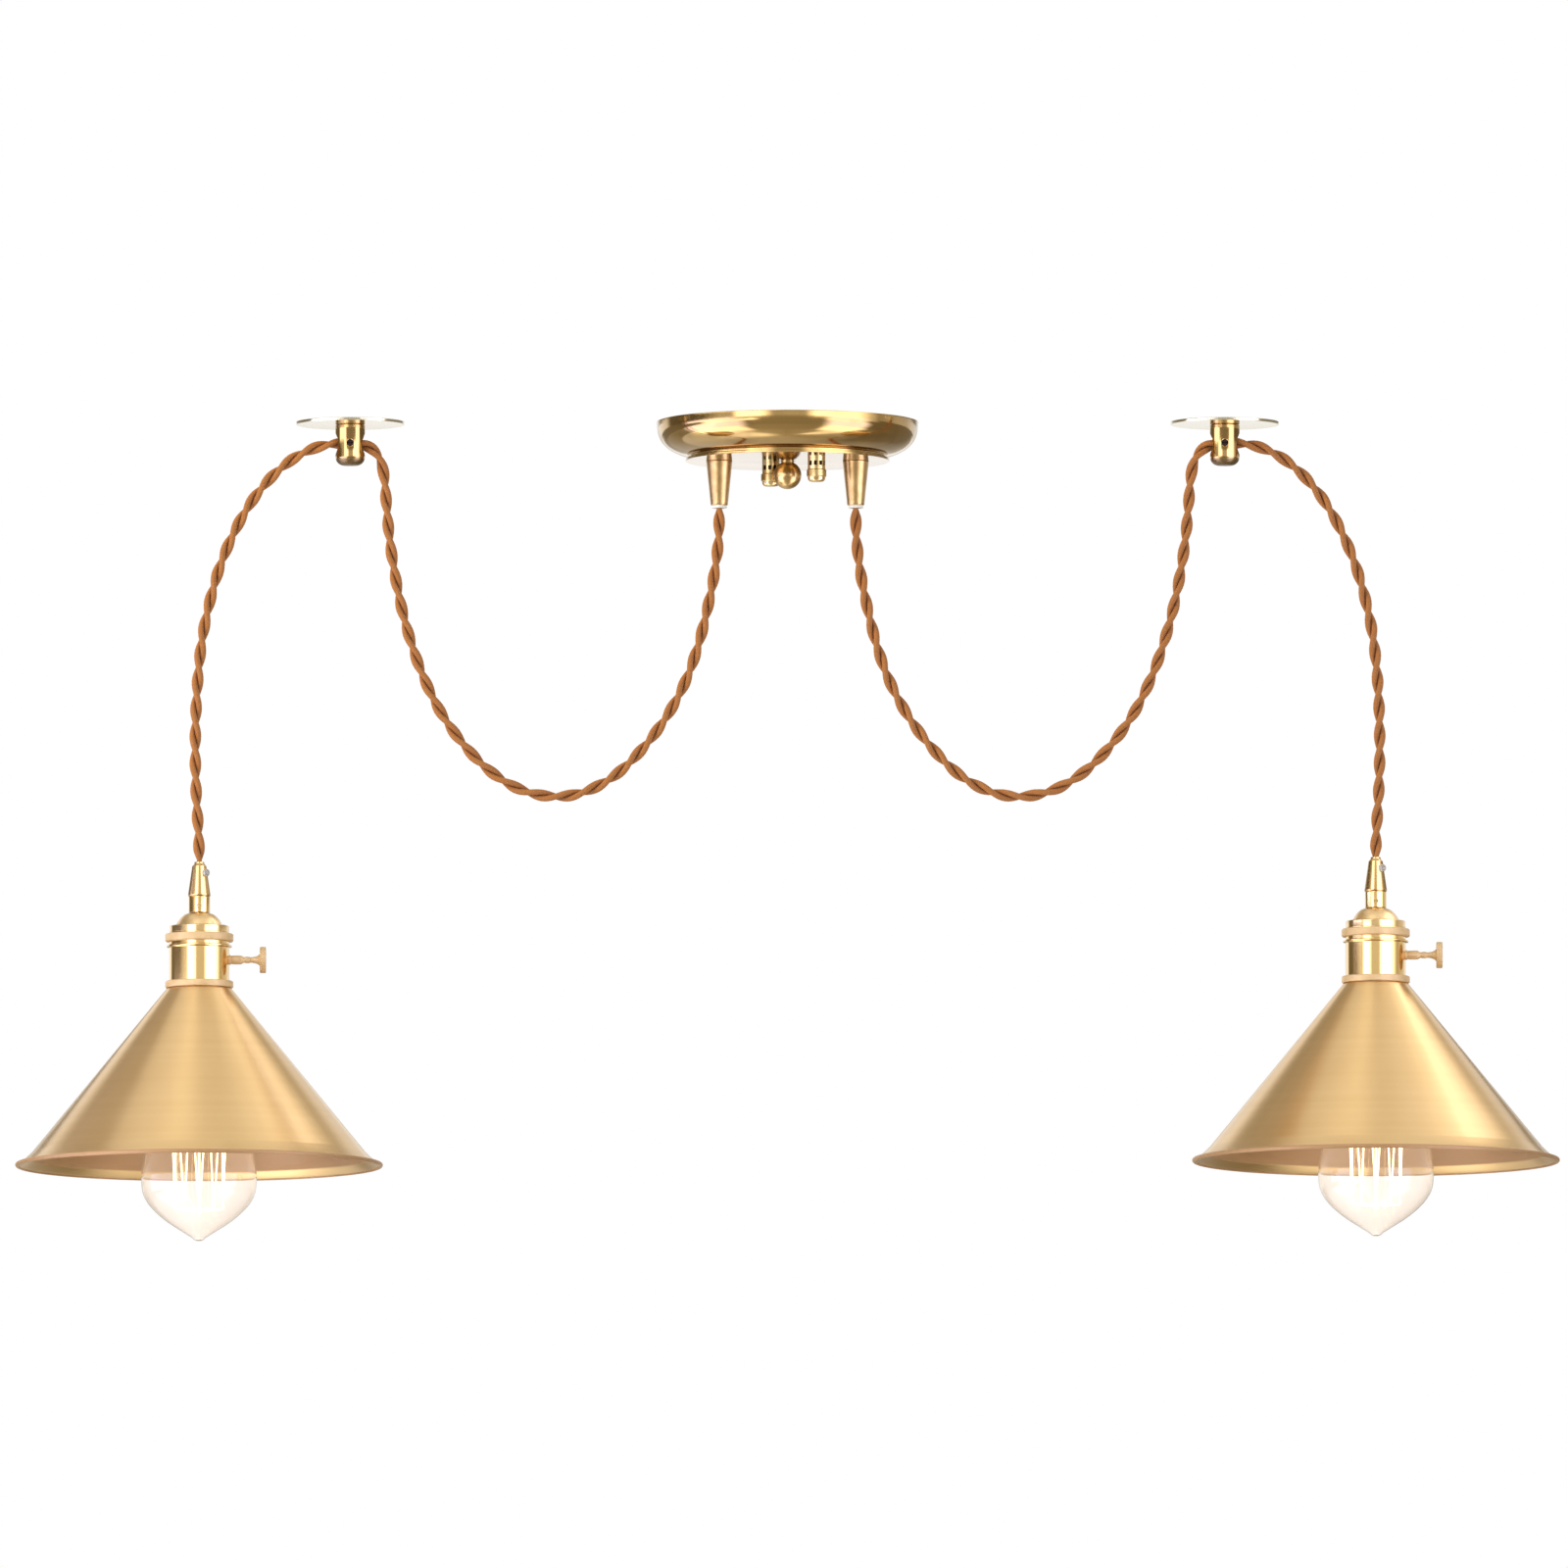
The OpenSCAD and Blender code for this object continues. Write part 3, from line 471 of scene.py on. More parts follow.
finish = {
    "polished": mirrorBrass("polishedBrass", "polished", "polishedDeep", (0.07, 0.14)),
    # the hook's rounded end is rougher, with painted shade in its darker tone
    "hook": mirrorBrass("hookBrass", "hook", "hookDeep", (0.05, 0.1), 0.5, (0.00001, 0.08),
        {"tone": "hookEnd", "heights": (-0.0204, -0.0222), "rough": 0.36}),  # the rounded end
    "lampGrip": mirrorBrass("lampGripBrass", "grip", "polishedDeep", (0.119, 0.238), 0.3),
    "plate": mirrorBrass("plateBrass", "plate", "plateDeep", (0.08, 0.16), 0.2, (0.00002, 0.2),
        {"tone": "plateBack", "heights": (-0.0004, -0.0001), "rough": 0.45}),  # the upper face
    "satin": satinBrass("satinBrass", "satin", "satinDeep", (0.48, 0.6), 0.35),
    "brushed": brushedBrass(),
    "grip": satinBrass("gripBrass", "grip", "gripDeep", (0.26, 0.34)),
    "aged": satinBrass("agedBrass", "aged", "agedDeep", (0.22, 0.3)),
    # the nuts' slots are painted near black as shade
    "nut": satinBrass("nutBrass", "nut", "nutDeep", (0.2, 0.3), shadeMask="slot"),
    "fabric": cordFabric(),
    "glass": clearGlass(),
    "glow": glowingWire(),
    "zinc": plainFinish("zincSteel", "8E9296", "6E7276", 90, (0.45, 0.6), 1, 0.00004),
    "dark": plainFinish("darkSteel", "2E160C", "180C07", 300, (0.35, 0.55), 0.6, 0.00003),
    "nylon": plainFinish("whiteNylon", "F6F4EC", "E6E2D6", 120, (0.35, 0.5), 0, 0.00004,
        {"Subsurface Weight": 0.15, "Subsurface Radius": (0.002, 0.0018, 0.0015)}),
    "clearNylon": plainFinish("clearNylon", "F4F4F2", "DCDDE0", 250, (0.18, 0.3), 0, 0.00003,
        {"Transmission Weight": 0.55, "IOR": 1.5}),
    "plastic": plainFinish("whitePlastic", "EFEEE9", "DEDCD4", 150, (0.3, 0.42), 0, 0.00003),
    "sleeve": plainFinish("wireSleeve", "6B3012", "4A200C", 200, (0.35, 0.5), 0, 0.00002),
    "porcelain": plainFinish("glazedPorcelain", "F3F0E8", "E4DFD2", 80, (0.08, 0.2), 0, 0.00003),
    "copper": plainFinish("brightAlloy", "D2BE96", "A98F62", 140, (0.18, 0.34), 1, 0.00003),
}
for side in sides:
    finish[side + "Turned"] = turnedBrass(side)
    finish[side + "Spun"] = spunBrass(side)
print("finishes made")

cordSet = {
    "across": 3.4,       # one strand
    "lay": 31.6,         # length of a full turn of the twist
    "ring": 1.5,
    "sides": 16,
    "narrow": 9,         # length over which the strands close up towards a mouth
    "swagMouths": (0.70, 1.0),  # share of the width left at the first and last end
    "dropMouths": (1.0, 0.62),
    "swag": [(39, -45.5), (39, -49.5), (39.5, -68), (42, -88), (46, -108), (51, -128),
        (58, -148), (68.5, -168), (82.5, -187), (99, -203), (117, -212.5), (135, -214.8),
        (153.5, -210.5), (171, -199.5), (186, -184), (198.5, -166), (208, -146.5),
        (215, -127), (220.5, -107), (224.5, -87), (227.5, -67), (229.3, -47), (230.8, -30),
        (234, -19.5), (240.5, -13.7), (250, -12.5)],
    "drop": [(250, -12.5), (260, -12.5), (272, -15.5), (284, -22), (296, -32.5),
        (307, -46.5), (316, -62.5), (324, -81.5), (330, -102), (334.5, -124), (337, -147),
        (338.2, -170), (338.4, -193), (337.8, -215), (336.6, -235), (336, -252.5),
        (336, -255.5)],
    "lift": {"left": 0.0, "right": 2.8},
    "phase": {"left": 40, "right": 40},
}


def evenLine(points, step):  # the smooth line cut into even steps, and its length
    fine = [Vector(p) for p in flowing(points, 24)]
    gone = [0.0]
    for a, b in zip(fine, fine[1:]):
        gone.append(gone[-1] + (b - a).length)
    count = max(4, round(gone[-1] / step))
    line, i = [], 0
    for k in range(count + 1):
        want = gone[-1] * k / count
        while i < len(gone) - 2 and gone[i + 1] < want:
            i += 1
        part = (want - gone[i]) / max(gone[i + 1] - gone[i], 1e-9)
        line.append(fine[i].lerp(fine[i + 1], min(max(part, 0), 1)))
    return line, gone[-1]


def twistedPair(node, side, points, startPhase, mouths):  # two strands round one route
    line, long = evenLine(points, cordSet["ring"])
    last = len(line) - 1
    across = Vector((0, 1, 0))
    bm = bmesh.new()
    uvLayer = bm.loops.layers.uv.new("strand")
    hollow = bm.verts.layers.float.new("hollow")
    sign = sides[side]

    def closing(share, distance):
        return share + (1 - share) * min(distance / cordSet["narrow"], 1)

    def strandCentre(i, turn):
        ahead, behind = line[min(i + 1, last)], line[max(i - 1, 0)]
        way = Vector((ahead[0] - behind[0], 0, ahead[1] - behind[1])).normalized()
        gone = long * i / last
        spread = min(closing(mouths[0], gone), closing(mouths[1], long - gone))
        angle = startPhase + turn + 2 * math.pi * gone / cordSet["lay"]
        outward = across.cross(way) * math.cos(angle) + across * math.sin(angle)
        middle = Vector((line[i][0], 0, line[i][1]))
        return middle + outward * cordSet["across"] / 2 * spread, outward, spread, gone

    for turn in (0, math.pi):
        rings = []
        for i in range(last + 1):
            centre, outward, spread, gone = strandCentre(i, turn)
            way = (strandCentre(min(i + 1, last), turn)[0]
                - strandCentre(max(i - 1, 0), turn)[0]).normalized()
            outward = (outward - way * outward.dot(way)).normalized()
            beside = way.cross(outward)
            ring = []
            for k in range(cordSet["sides"]):
                angle = 2 * math.pi * k / cordSet["sides"]
                spot = centre + (outward * math.cos(angle) + beside * math.sin(angle)) \
                    * cordSet["across"] / 2 * spread
                vert = bm.verts.new((spot.x * mm * sign, spot.y * mm, spot.z * mm))
                # painted shade: darker where the two strands meet
                vert[hollow] = min(0.7, max(0.0, -0.3 - 1.1 * math.cos(angle)))
                ring.append(vert)
            rings.append((ring, gone))
        for (ringA, goneA), (ringB, goneB) in zip(rings, rings[1:]):
            for k in range(cordSet["sides"]):
                n = (k + 1) % cordSet["sides"]
                face = bm.faces.new((ringA[k], ringB[k], ringB[n], ringA[n]))
                for loop, (u, v) in zip(face.loops, ((goneA, k), (goneB, k), (goneB, k + 1),
                        (goneA, k + 1))):
                    loop[uvLayer].uv = (u * mm, v / cordSet["sides"])
        bm.faces.new(rings[0][0])
        bm.faces.new(rings[-1][0])
    bmesh.ops.recalc_face_normals(bm, faces=bm.faces)
    piece = addPiece(node, bm, None, "fabric", weighted=False)
    path = [(p[0] * mm * sign, 0.0, p[1] * mm) for p in line]
    return piece, path, startPhase + 2 * math.pi * long / cordSet["lay"], long * mm


for side in sides:
    swag, swagPath, phase, swagLong = twistedPair(side + "_swag_cord", side, cordSet["swag"],
        math.radians(cordSet["phase"][side]), cordSet["swagMouths"])
    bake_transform(swag)
    spans = len(cordSet["drop"]) - 2
    route = [(x, z + cordSet["lift"][side] * min(i / spans, 1))
        for i, (x, z) in enumerate(cordSet["drop"])]
    drop, dropPath, _, dropLong = twistedPair(side + "_drop_cord", side, route, phase,
        cordSet["dropMouths"])
    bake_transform(drop)
    print(side, "cords:", round(swagLong, 4), round(dropLong, 4), "m")

canopySet = {"depth": 22.5, "sheet": 0.8, "face": 58.275, "faceStep": 1.5,
    "edge": [(75, 0), (74.4, -5.8), (72.375, -10.89), (68.175, -15.1), (62.025, -18.2),
        (56.475, -19.6)]}
edge = flowing(canopySet["edge"], 6)
inner = [(x, min(z, 0)) for x, z in backed(edge, -canopySet["sheet"])[len(edge):]]
low = -canopySet["depth"]
wallX, step, back = edge[-1][0], low + canopySet["faceStep"], low + canopySet["sheet"]
turnedPiece("canopy_cover", edge + [(wallX, step), (canopySet["face"], step),
    (canopySet["face"], low), (0, low), (0, back), (wallX - canopySet["sheet"], back)] + inner,
    "root", "brushed", steps=128, soft=0.25, angle=35, name="canopyShell")

gripSet = {"top": 7.5, "low": 4.9, "long": 25.2, "bore": 3.65, "out": 0.039}
for side in sides:
    bore, wide, slim, foot = (gripSet["bore"], gripSet["top"], gripSet["low"],
        low - gripSet["long"])
    turnedPiece(side + "_canopy_grip", [(bore, low), (wide, low), (wide - 0.12, low - 1.2),
        (slim + 0.1, foot + 0.9), (slim, foot), (bore, foot)], "root", "grip",
        (sides[side] * gripSet["out"], 0, 0), steps=64, soft=0.3)

bushSet = {"bore": 2.6, "flange": 4.3, "sleeve": 3.6, "top": -47.7, "flangeH": 1.8, "long": 9}
bushes = []
for side in sides:
    foot = bushSet["top"] - bushSet["flangeH"]
    bm = turned([(bushSet["bore"], foot), (bushSet["flange"], foot),
        (bushSet["flange"], bushSet["top"]), (bushSet["sleeve"], bushSet["top"]),
        (bushSet["sleeve"], foot + bushSet["long"]), (bushSet["bore"], foot + bushSet["long"])],
        48, closed=True)
    softenEdges(bm, 0.35, segments=3)
    bmesh.ops.translate(bm, verts=bm.verts, vec=(sides[side] * gripSet["out"], 0, 0))
    bushes.append(bm)
addPiece("grip_bushes", joined(bushes), "root", "nylon")

ballSet = {"radius": 8, "neck": 3.6}
ballTurn = math.degrees(math.asin(ballSet["neck"] / ballSet["radius"]))
bm = turned(arc(0, low - ballSet["radius"], ballSet["radius"], -90, 90 - ballTurn, 24)
    + [(ballSet["neck"], low - 0.2), (ballSet["neck"] + 0.9, low), (0, low)], 64)
addPiece("ball_finial", bm, "root", "aged")

nutSet = {"places": [(-9.5, 10.2), (16.6, -17.9)], "steps": 120,
    "profile": [(0, 0), (5, 0), (5, -1.6), (5, -4.2), (5, -6.2), (5.6, -6.7), (5.6, -10.3),
        (5.1, -10.7), (4.9, -12.2), (4, -13.2), (2.8, -13.5), (0, -13.5)],
    "slot": {"low": -4.2, "high": -1.6, "every": 12, "wide": 7, "scale": 0.8},
    "teeth": {"low": -10.3, "high": -6.7, "every": 2, "wide": 1, "scale": 0.96}}
nuts = []
for x, y in nutSet["places"]:
    bm = turned(nutSet["profile"], nutSet["steps"])
    slotShade = bm.verts.layers.float.new("slot")
    groups = {"slot": [], "teeth": []}
    for face in bm.faces:
        middle = face.calc_center_median()
        for kind, group in groups.items():
            cut = nutSet[kind]
            if cut["low"] < middle.z / mm < cut["high"] \
                    and stepOf(middle, nutSet["steps"]) % cut["every"] < cut["wide"]:
                group.append(face)
    # the pushed-in slots are marked for painted shade
    for v in pushIn(bm, groups["slot"], nutSet["slot"]["scale"]):
        v[slotShade] = 1.0
    pushIn(bm, groups["teeth"], nutSet["teeth"]["scale"])
    bmesh.ops.recalc_face_normals(bm, faces=bm.faces)
    markSharp(bm, 40)
    bmesh.ops.translate(bm, verts=bm.verts, vec=(x * mm, y * mm, low * mm))
    nuts.append(bm)
addPiece("knurled_nuts", joined(nuts), "root", "nut")
print("canopy made")

# ceiling fixings and terminals come from the solids
for node, look, slotName, soft in (("ceiling_bracket", "zinc", "zinc_steel", 0.25),
        ("bracket_studs", "zinc", "zinc_steel", 0), ("finial_lock_nut", "zinc", "zinc_steel", 0.2),
        ("grip_nipples", "zinc", "zinc_steel", 0), ("grip_lock_nuts", "zinc", "zinc_steel", 0.2),
        ("terminal_block", "plastic", "white_plastic", 0.4),
        ("terminal_screws", "zinc", "zinc_steel", 0),
        ("canopy_wires", "sleeve", "wire_sleeve", 0)):
    addPiece(node, tidyCopy(node, soft), "root", look)
print("ceiling fixings made")

# the mouth is how far the bore widens, by the depth from the barrel's side
hookSet = {"plate": 31, "plateT": 1.6, "barrel": 8.5, "barrelH": 23.4, "round": 5,
    "bore": 4.5, "boreZ": -12.5, "grub": 2.05, "grubFoot": 3,
    "mouth": [(2.8, -1), (1.9, 0), (1.15, 0.9), (0.45, 2), (0, 4.1)]}


def cutAway(piece, cutters):  # takes the cutters' shapes out and keeps the result
    for number, cutter in enumerate(cutters):
        cut = piece.modifiers.new("cut" + str(number), "BOOLEAN")
        cut.object, cut.operation, cut.solver = cutter, "DIFFERENCE", "EXACT"
    bpy.context.view_layer.update()
    graph = bpy.context.evaluated_depsgraph_get()
    done = bpy.data.meshes.new_from_object(piece.evaluated_get(graph))
    for cut in [m for m in piece.modifiers if m.type == "BOOLEAN"]:
        piece.modifiers.remove(cut)
    old = piece.data
    piece.data = done
    bpy.data.meshes.remove(old)
    for cutter in cutters:
        bpy.data.objects.remove(cutter)


for side in sides:
    at, t, edge = (hookX[side], 0, 0), hookSet["plateT"], 0.3
    outline = [(0, 0), (hookSet["plate"], 0)] + arc(hookSet["plate"] - edge, edge - t, edge,
        0, -90, 4) + [(0, -t)]
    turnedPiece(side + "_hook_plate", outline, "root", "plate", at,
        steps=128, soft=0.12, angle=35, closed=False)
    r, foot, bend = hookSet["barrel"], -t - hookSet["barrelH"], hookSet["round"]
    bm = turned([(0, -t), (r - 0.5, -t), (r, -t - 0.5), (r, -t - 3)]
        + arc(r - bend, foot + bend, bend, 0, -90, 8) + [(0, foot)], 96)
    barrel = addPiece(side + "_hook_barrel", bm, "root", "hook", at,
        weighted=False)
    b, g, reach = hookSet["bore"], hookSet["grub"], r + 1
    mouth = [(b + more, deep - r) for more, deep in hookSet["mouth"]]
    throughBore = [(0, -reach)] + mouth + [(x, -z) for x, z in reversed(mouth)] + [(0, reach)]
    grubHole = [(0, hookSet["grubFoot"]), (g, hookSet["grubFoot"]), (g, r - 0.3), (g + 0.35, r),
        (g + 0.35, reach), (0, reach)]
    cutters = []
    for shape, axis in ((throughBore, "Y"), (grubHole, "X")):
        bm = turned(shape, 64)
        bmesh.ops.rotate(bm, verts=bm.verts, cent=(0, 0, 0),
            matrix=Matrix.Rotation(math.radians(90), 3, axis))
        bmesh.ops.translate(bm, verts=bm.verts, vec=(at[0], 0, hookSet["boreZ"] * mm))
        cutters.append(meshObject("cutter", bm))
    cutAway(barrel, cutters)
    barrel.data.shade_smooth()
    barrel.data.set_sharp_from_angle(angle=math.radians(32))
    addPiece(side + "_hook_screw", tidyCopy(side + "_hook_screw"), side + "_screw", "dark")
print("hooks made")

# heights below are in mm from the top of the lamp's cord grip
lampSet = {
    "gripOut": [(2.3, 0), (2.85, 0), (2.85, -0.9), (4.05, -2.3), (6.35, -18.3), (6.5, -18.7),
        (6.5, -19.5), (2.3, -19.5)],
    "collar": [(3.6, -19.5), (5.75, -19.5), (6.15, -20.1), (6.15, -29), (3.6, -29)],
    "dome": [(4.55, -29), (8.35, -30.2), (11.33, -32.9), (13.49, -36.5)],
    "skirt": [(16.6, -36.65), (17, -36.95), (17, -40.5)], "capWall": 1.0,
    "body": 17.25, "bodyTop": -40.5, "bodyLow": -68.3, "wall": 1.4,
    "sleeve": 15, "sleeveLow": -92.5, "sleeveWall": 0.9, "fit": 0.02,
    "lip": (18.65, -47.5, -49.2), "ring": 19.5, "upper": (-41.2, -45.7), "lower": (-68.3, -72.2),
    "inner": (16.9, -73.0, -77.0), "keyZ": -56.1,
    # the key's radii, and how far it reaches from the lamp's axis
    "keyRoot": [(0, 11), (2.8, 11), (2.8, 17.75)],
    "keyStem": [(2.25, 18.3), (2.5, 19.3), (2.5, 23.6), (1.9, 24.9), (1.6, 25.7), (1.85, 26.8),
        (1.85, 28.2), (1.6, 29.4), (1.75, 31), (2.3, 33), (3.5, 34.6)],
    "knob": 7.5, "knobT": 3.5, "knobEdge": (0.35, 0.4), "teeth": 40, "toothScale": 0.966,
}
shadeSet = {"hole": 15.05, "top": 18.2, "z": -72.2, "sheet": 0.8, "rings": 12, "steps": 160,
    "flare": [(95, -166.2), (98.8, -169.9), (102, -172.6), (103.8, -173.6)],
    "bead": 1.2, "beadShade": 1.0}


def chamfered(hole, r, top, foot, edge):  # a ring's outline with its outer edges cut
    return [(hole, top), (r - edge, top), (r, top - edge), (r, foot + edge), (r - edge, foot),
        (hole, foot)]


for side in sides:
    lamp = side + "_lamp"
    at = (lampX[side], 0, lampTop[side])
    r, (lipR, lipTop, lipLow), wall = lampSet["body"], lampSet["lip"], lampSet["wall"]
    top, foot, sleeve = lampSet["bodyTop"], lampSet["bodyLow"], lampSet["sleeve"]
    bore, fit = sleeve - lampSet["sleeveWall"], lampSet["fit"]
    turnedPiece(side + "_lamp_grip", lampSet["gripOut"], lamp, "lampGrip",
        at, steps=64)
    turnedPiece(side + "_collar", lampSet["collar"], lamp, "polished", at,
        steps=64)
    for node, look, slotName in (("_grip_screw", "clearNylon", "clear_nylon"),
            ("_collar_screw", "polished", "polished_brass")):
        addPiece(side + node, tidyCopy(side + node, 0.12), lamp, look)
    turnedPiece(side + "_holder_cap", backed(flowing(lampSet["dome"], 6) + lampSet["skirt"],
        -lampSet["capWall"]), lamp, side + "Turned", at, soft=0.2, angle=35)
    for node, hole in (("upper", r + fit), ("lower", sleeve + fit)):
        turnedPiece(side + "_" + node + "_ring", chamfered(hole, lampSet["ring"],
            *lampSet[node], 0.5), lamp, "satin", at, soft=0.18)
    turnedPiece(side + "_holder_body", [(r, top), (r, lipTop), (lipR, lipTop - 0.4),
        (lipR, lipLow + 0.4), (r, lipLow), (r, foot), (sleeve, foot),
        (sleeve, lampSet["sleeveLow"]), (bore, lampSet["sleeveLow"]), (bore, foot + wall),
        (r - wall, foot + wall), (r - wall, top)], lamp, "polished", at,
        soft=0.12)
    turnedPiece(side + "_inner_ring", chamfered(sleeve + fit, *lampSet["inner"], 0.6), lamp,
        "polished", at)
    for node, look, slotName in (("_insulator", "porcelain", "porcelain"),
            ("_thread_shell", "copper", "copper_alloy"),
            ("_centre_contact", "copper", "copper_alloy")):
        addPiece(side + node, tidyCopy(side + node), lamp, look)

    near, knob, teeth = lampSet["keyStem"][-1][1], lampSet["knob"], 2 * lampSet["teeth"]
    far, (inset, bevel) = near + lampSet["knobT"], lampSet["knobEdge"]
    bm = turned(lampSet["keyRoot"] + flowing(lampSet["keyStem"], 5) + [(0, near)], 48)
    wheel = turned([(0, near), (knob - inset, near), (knob, near + bevel), (knob, far - bevel),
        (knob - inset, far), (0, far)], teeth)
    pushIn(wheel, [face for face in wheel.faces
        if near + bevel < face.calc_center_median().z / mm < far - bevel
        and stepOf(face.calc_center_median(), teeth) % 2 == 0], lampSet["toothScale"])
    bmesh.ops.recalc_face_normals(wheel, faces=wheel.faces)
    key = joined([bm, wheel])
    bmesh.ops.rotate(key, verts=key.verts, cent=(0, 0, 0),
        matrix=Matrix.Rotation(math.radians(90), 3, "Y"))
    wrapUv(key, 0)
    addPiece(side + "_switch_key", key, side + "_key", "satin",
        (at[0], 0, at[2] + lampSet["keyZ"] * mm))

    coneTop, coneLow = (shadeSet["top"] + 0.35, shadeSet["z"] - 0.35), shadeSet["flare"][0]
    outer = [(shadeSet["hole"], shadeSet["z"]), (shadeSet["top"] - 0.5, shadeSet["z"])]
    for k in range(shadeSet["rings"]):
        outer.append(tuple(a + (b - a) * k / shadeSet["rings"] for a, b in
            zip(coneTop, coneLow)))
    outer += flowing(shadeSet["flare"], 4)
    bm = turned(backed(outer, -shadeSet["sheet"]), shadeSet["steps"], closed=True)
    # marks the inner wall, whose darker tone is partly painted shade
    inside = bm.verts.layers.float.new("inside")
    slope = (coneLow[0] - coneTop[0]) / (coneTop[1] - coneLow[1])
    for v in bm.verts:
        onCone = coneTop[0] + (coneTop[1] - v.co.z / mm) * slope
        reach = math.hypot(v.co.x, v.co.y) / mm
        v[inside] = 1.0 if reach < onCone - shadeSet["sheet"] / 2 else 0.0
    # the bead's round is closed by turned(), so its last step is left out
    bead = turned(arc(*shadeSet["flare"][-1], shadeSet["bead"], 0, 345, 23), shadeSet["steps"],
        closed=True)
    # the bead is given the inner wall's darker tone as painted shade
    inside = bead.verts.layers.float.new("inside")
    for v in bead.verts:
        v[inside] = shadeSet["beadShade"]
    bm = joined([bm, bead])
    wrapUv(bm)
    addPiece(side + "_shade", bm, lamp, side + "Spun", at)
print("lamps made")

bulbSet = {"top": -68.4, "cap": 13.33, "capL": 25, "threadTop": 5.5, "threadDeep": 0.6,
    "turns": 6, "perTurn": 6, "wall": 0.6, "wires": 10, "wire": 0.42, "cage": (16.5, -122.04),
    "cageLow": (14.19, -198.78), "high": -93.4,
    "glass": [(13.68, -25), (14.19, -33), (17.16, -46), (23.76, -68), (29.7, -91),
        (32.67, -108), (33, -114), (32.2, -121), (30, -126), (26.6, -130.4), (22, -134.8),
        (16.8, -138.8), (11.8, -142), (7.4, -144.8), (4.1, -146.9), (2.3, -148.4), (0, -149)]}


def wireTube(points, radius, corners):  # a thin wire through points, capped
    bm = bmesh.new()
    rings = []
    for i, p in enumerate(points):
        way = (points[min(i + 1, len(points) - 1)] - points[max(i - 1, 0)]).normalized()
        ring = bmesh.ops.create_circle(bm, segments=corners, radius=radius * mm)["verts"]
        turn = way.to_track_quat("Z", "Y").to_matrix().to_4x4()
        bmesh.ops.transform(bm, matrix=Matrix.Translation(p * mm) @ turn, verts=ring)
        rings.append([e for e in bm.edges if e.verts[0] in ring and e.verts[1] in ring])
    for a, b in zip(rings, rings[1:]):
        bmesh.ops.bridge_loops(bm, edges=a + b)
    bmesh.ops.holes_fill(bm, edges=[e for e in bm.edges if len(e.link_faces) == 1], sides=0)
    bmesh.ops.recalc_face_normals(bm, faces=bm.faces)
    return bm


for side in sides:
    body = side + "_bulb"
    at = (lampX[side], 0, lampTop[side] + bulbSet["top"] * mm)

    glass = flowing(bulbSet["glass"], 6)  # its inner wall ends a little short of the tip
    inside = turned([p for p in backed(glass, -bulbSet["wall"])[len(glass):]
        if p[0] > 0.4 and p[1] > glass[-1][1] + 1], 96)
    bmesh.ops.reverse_faces(inside, faces=inside.faces)
    whole = joined([turned(glass, 96), inside])
    openEdges = [e for e in whole.edges if len(e.link_faces) == 1]
    halfWay = bulbSet["glass"][1][1] * mm  # between the neck's rim and the tip
    bmesh.ops.bridge_loops(whole, edges=[e for e in openEdges if e.verts[0].co.z > halfWay])
    bmesh.ops.holes_fill(whole, edges=[e for e in openEdges if e.verts[0].co.z < halfWay],
        sides=0)
    bmesh.ops.recalc_face_normals(whole, faces=whole.faces)
    addPiece(side + "_bulb_glass", whole, body, "glass", at, weighted=False)

    r, long, start = bulbSet["cap"], bulbSet["capL"], bulbSet["threadTop"]
    per, deep, thread = bulbSet["perTurn"], bulbSet["threadDeep"] / 2, []
    steps = per * bulbSet["turns"]
    for k in range(steps + 1):  # waves, and a plain last turn
        wave = deep * (math.cos(2 * math.pi * k / per) - 1) if k <= steps - per else -0.1
        thread.append((r + wave, -start - (long - start) * k / steps))
    bm = turned([(0, 0), (4.6, 0), (5.6, -0.9), (r - 3, -3.5), (r - 0.4, -4.5)] + thread
        + [(r - 1, -long), (0, -long)], 64)
    addPiece(side + "_bulb_cap", bm, body, "copper", at)

    high = bulbSet["high"] - bulbSet["top"]
    (cageR, cageZ), (lowR, lowZ) = bulbSet["cage"], bulbSet["cageLow"]
    cageZ, lowZ = cageZ - bulbSet["top"], lowZ - bulbSet["top"]
    count = bulbSet["wires"]
    parts = [turned([(0, cageZ), (1, cageZ), (1.6, cageZ + 3), (2.6, cageZ + 12),
        (4.8, high), (0, high)], 32),
        turned([(0, lowZ - 3), (0.6, lowZ - 2.8), (1.0, lowZ - 2), (0.6, lowZ - 1.2),
        (0.6, cageZ), (0, cageZ)], 16)]
    for k in range(count):
        a, b = 2 * math.pi * k / count, 2 * math.pi * (k + 0.5) / count
        topSpot = Vector((cageR * math.cos(a), cageR * math.sin(a), cageZ))
        lowSpot = Vector((lowR * math.cos(b), lowR * math.sin(b), lowZ))
        parts.append(wireTube([Vector((0, 0, cageZ)),
            topSpot * 0.55 + Vector((0, 0, cageZ * 0.45 + 0.6)), topSpot + Vector((0, 0, 0.5)),
            topSpot, topSpot.lerp(lowSpot, 0.5), lowSpot,
            Vector((lowSpot.x * 0.5, lowSpot.y * 0.5, lowZ - 0.5)), Vector((0, 0, lowZ))],
            bulbSet["wire"], 6))
    addPiece(side + "_filament", joined(parts), body, "glow", at,
        weighted=False)
print("bulbs made")

stageSet = {"floor": -2.6, "reach": 40, "floorTone": "F7F6F4", "world": 0.5}

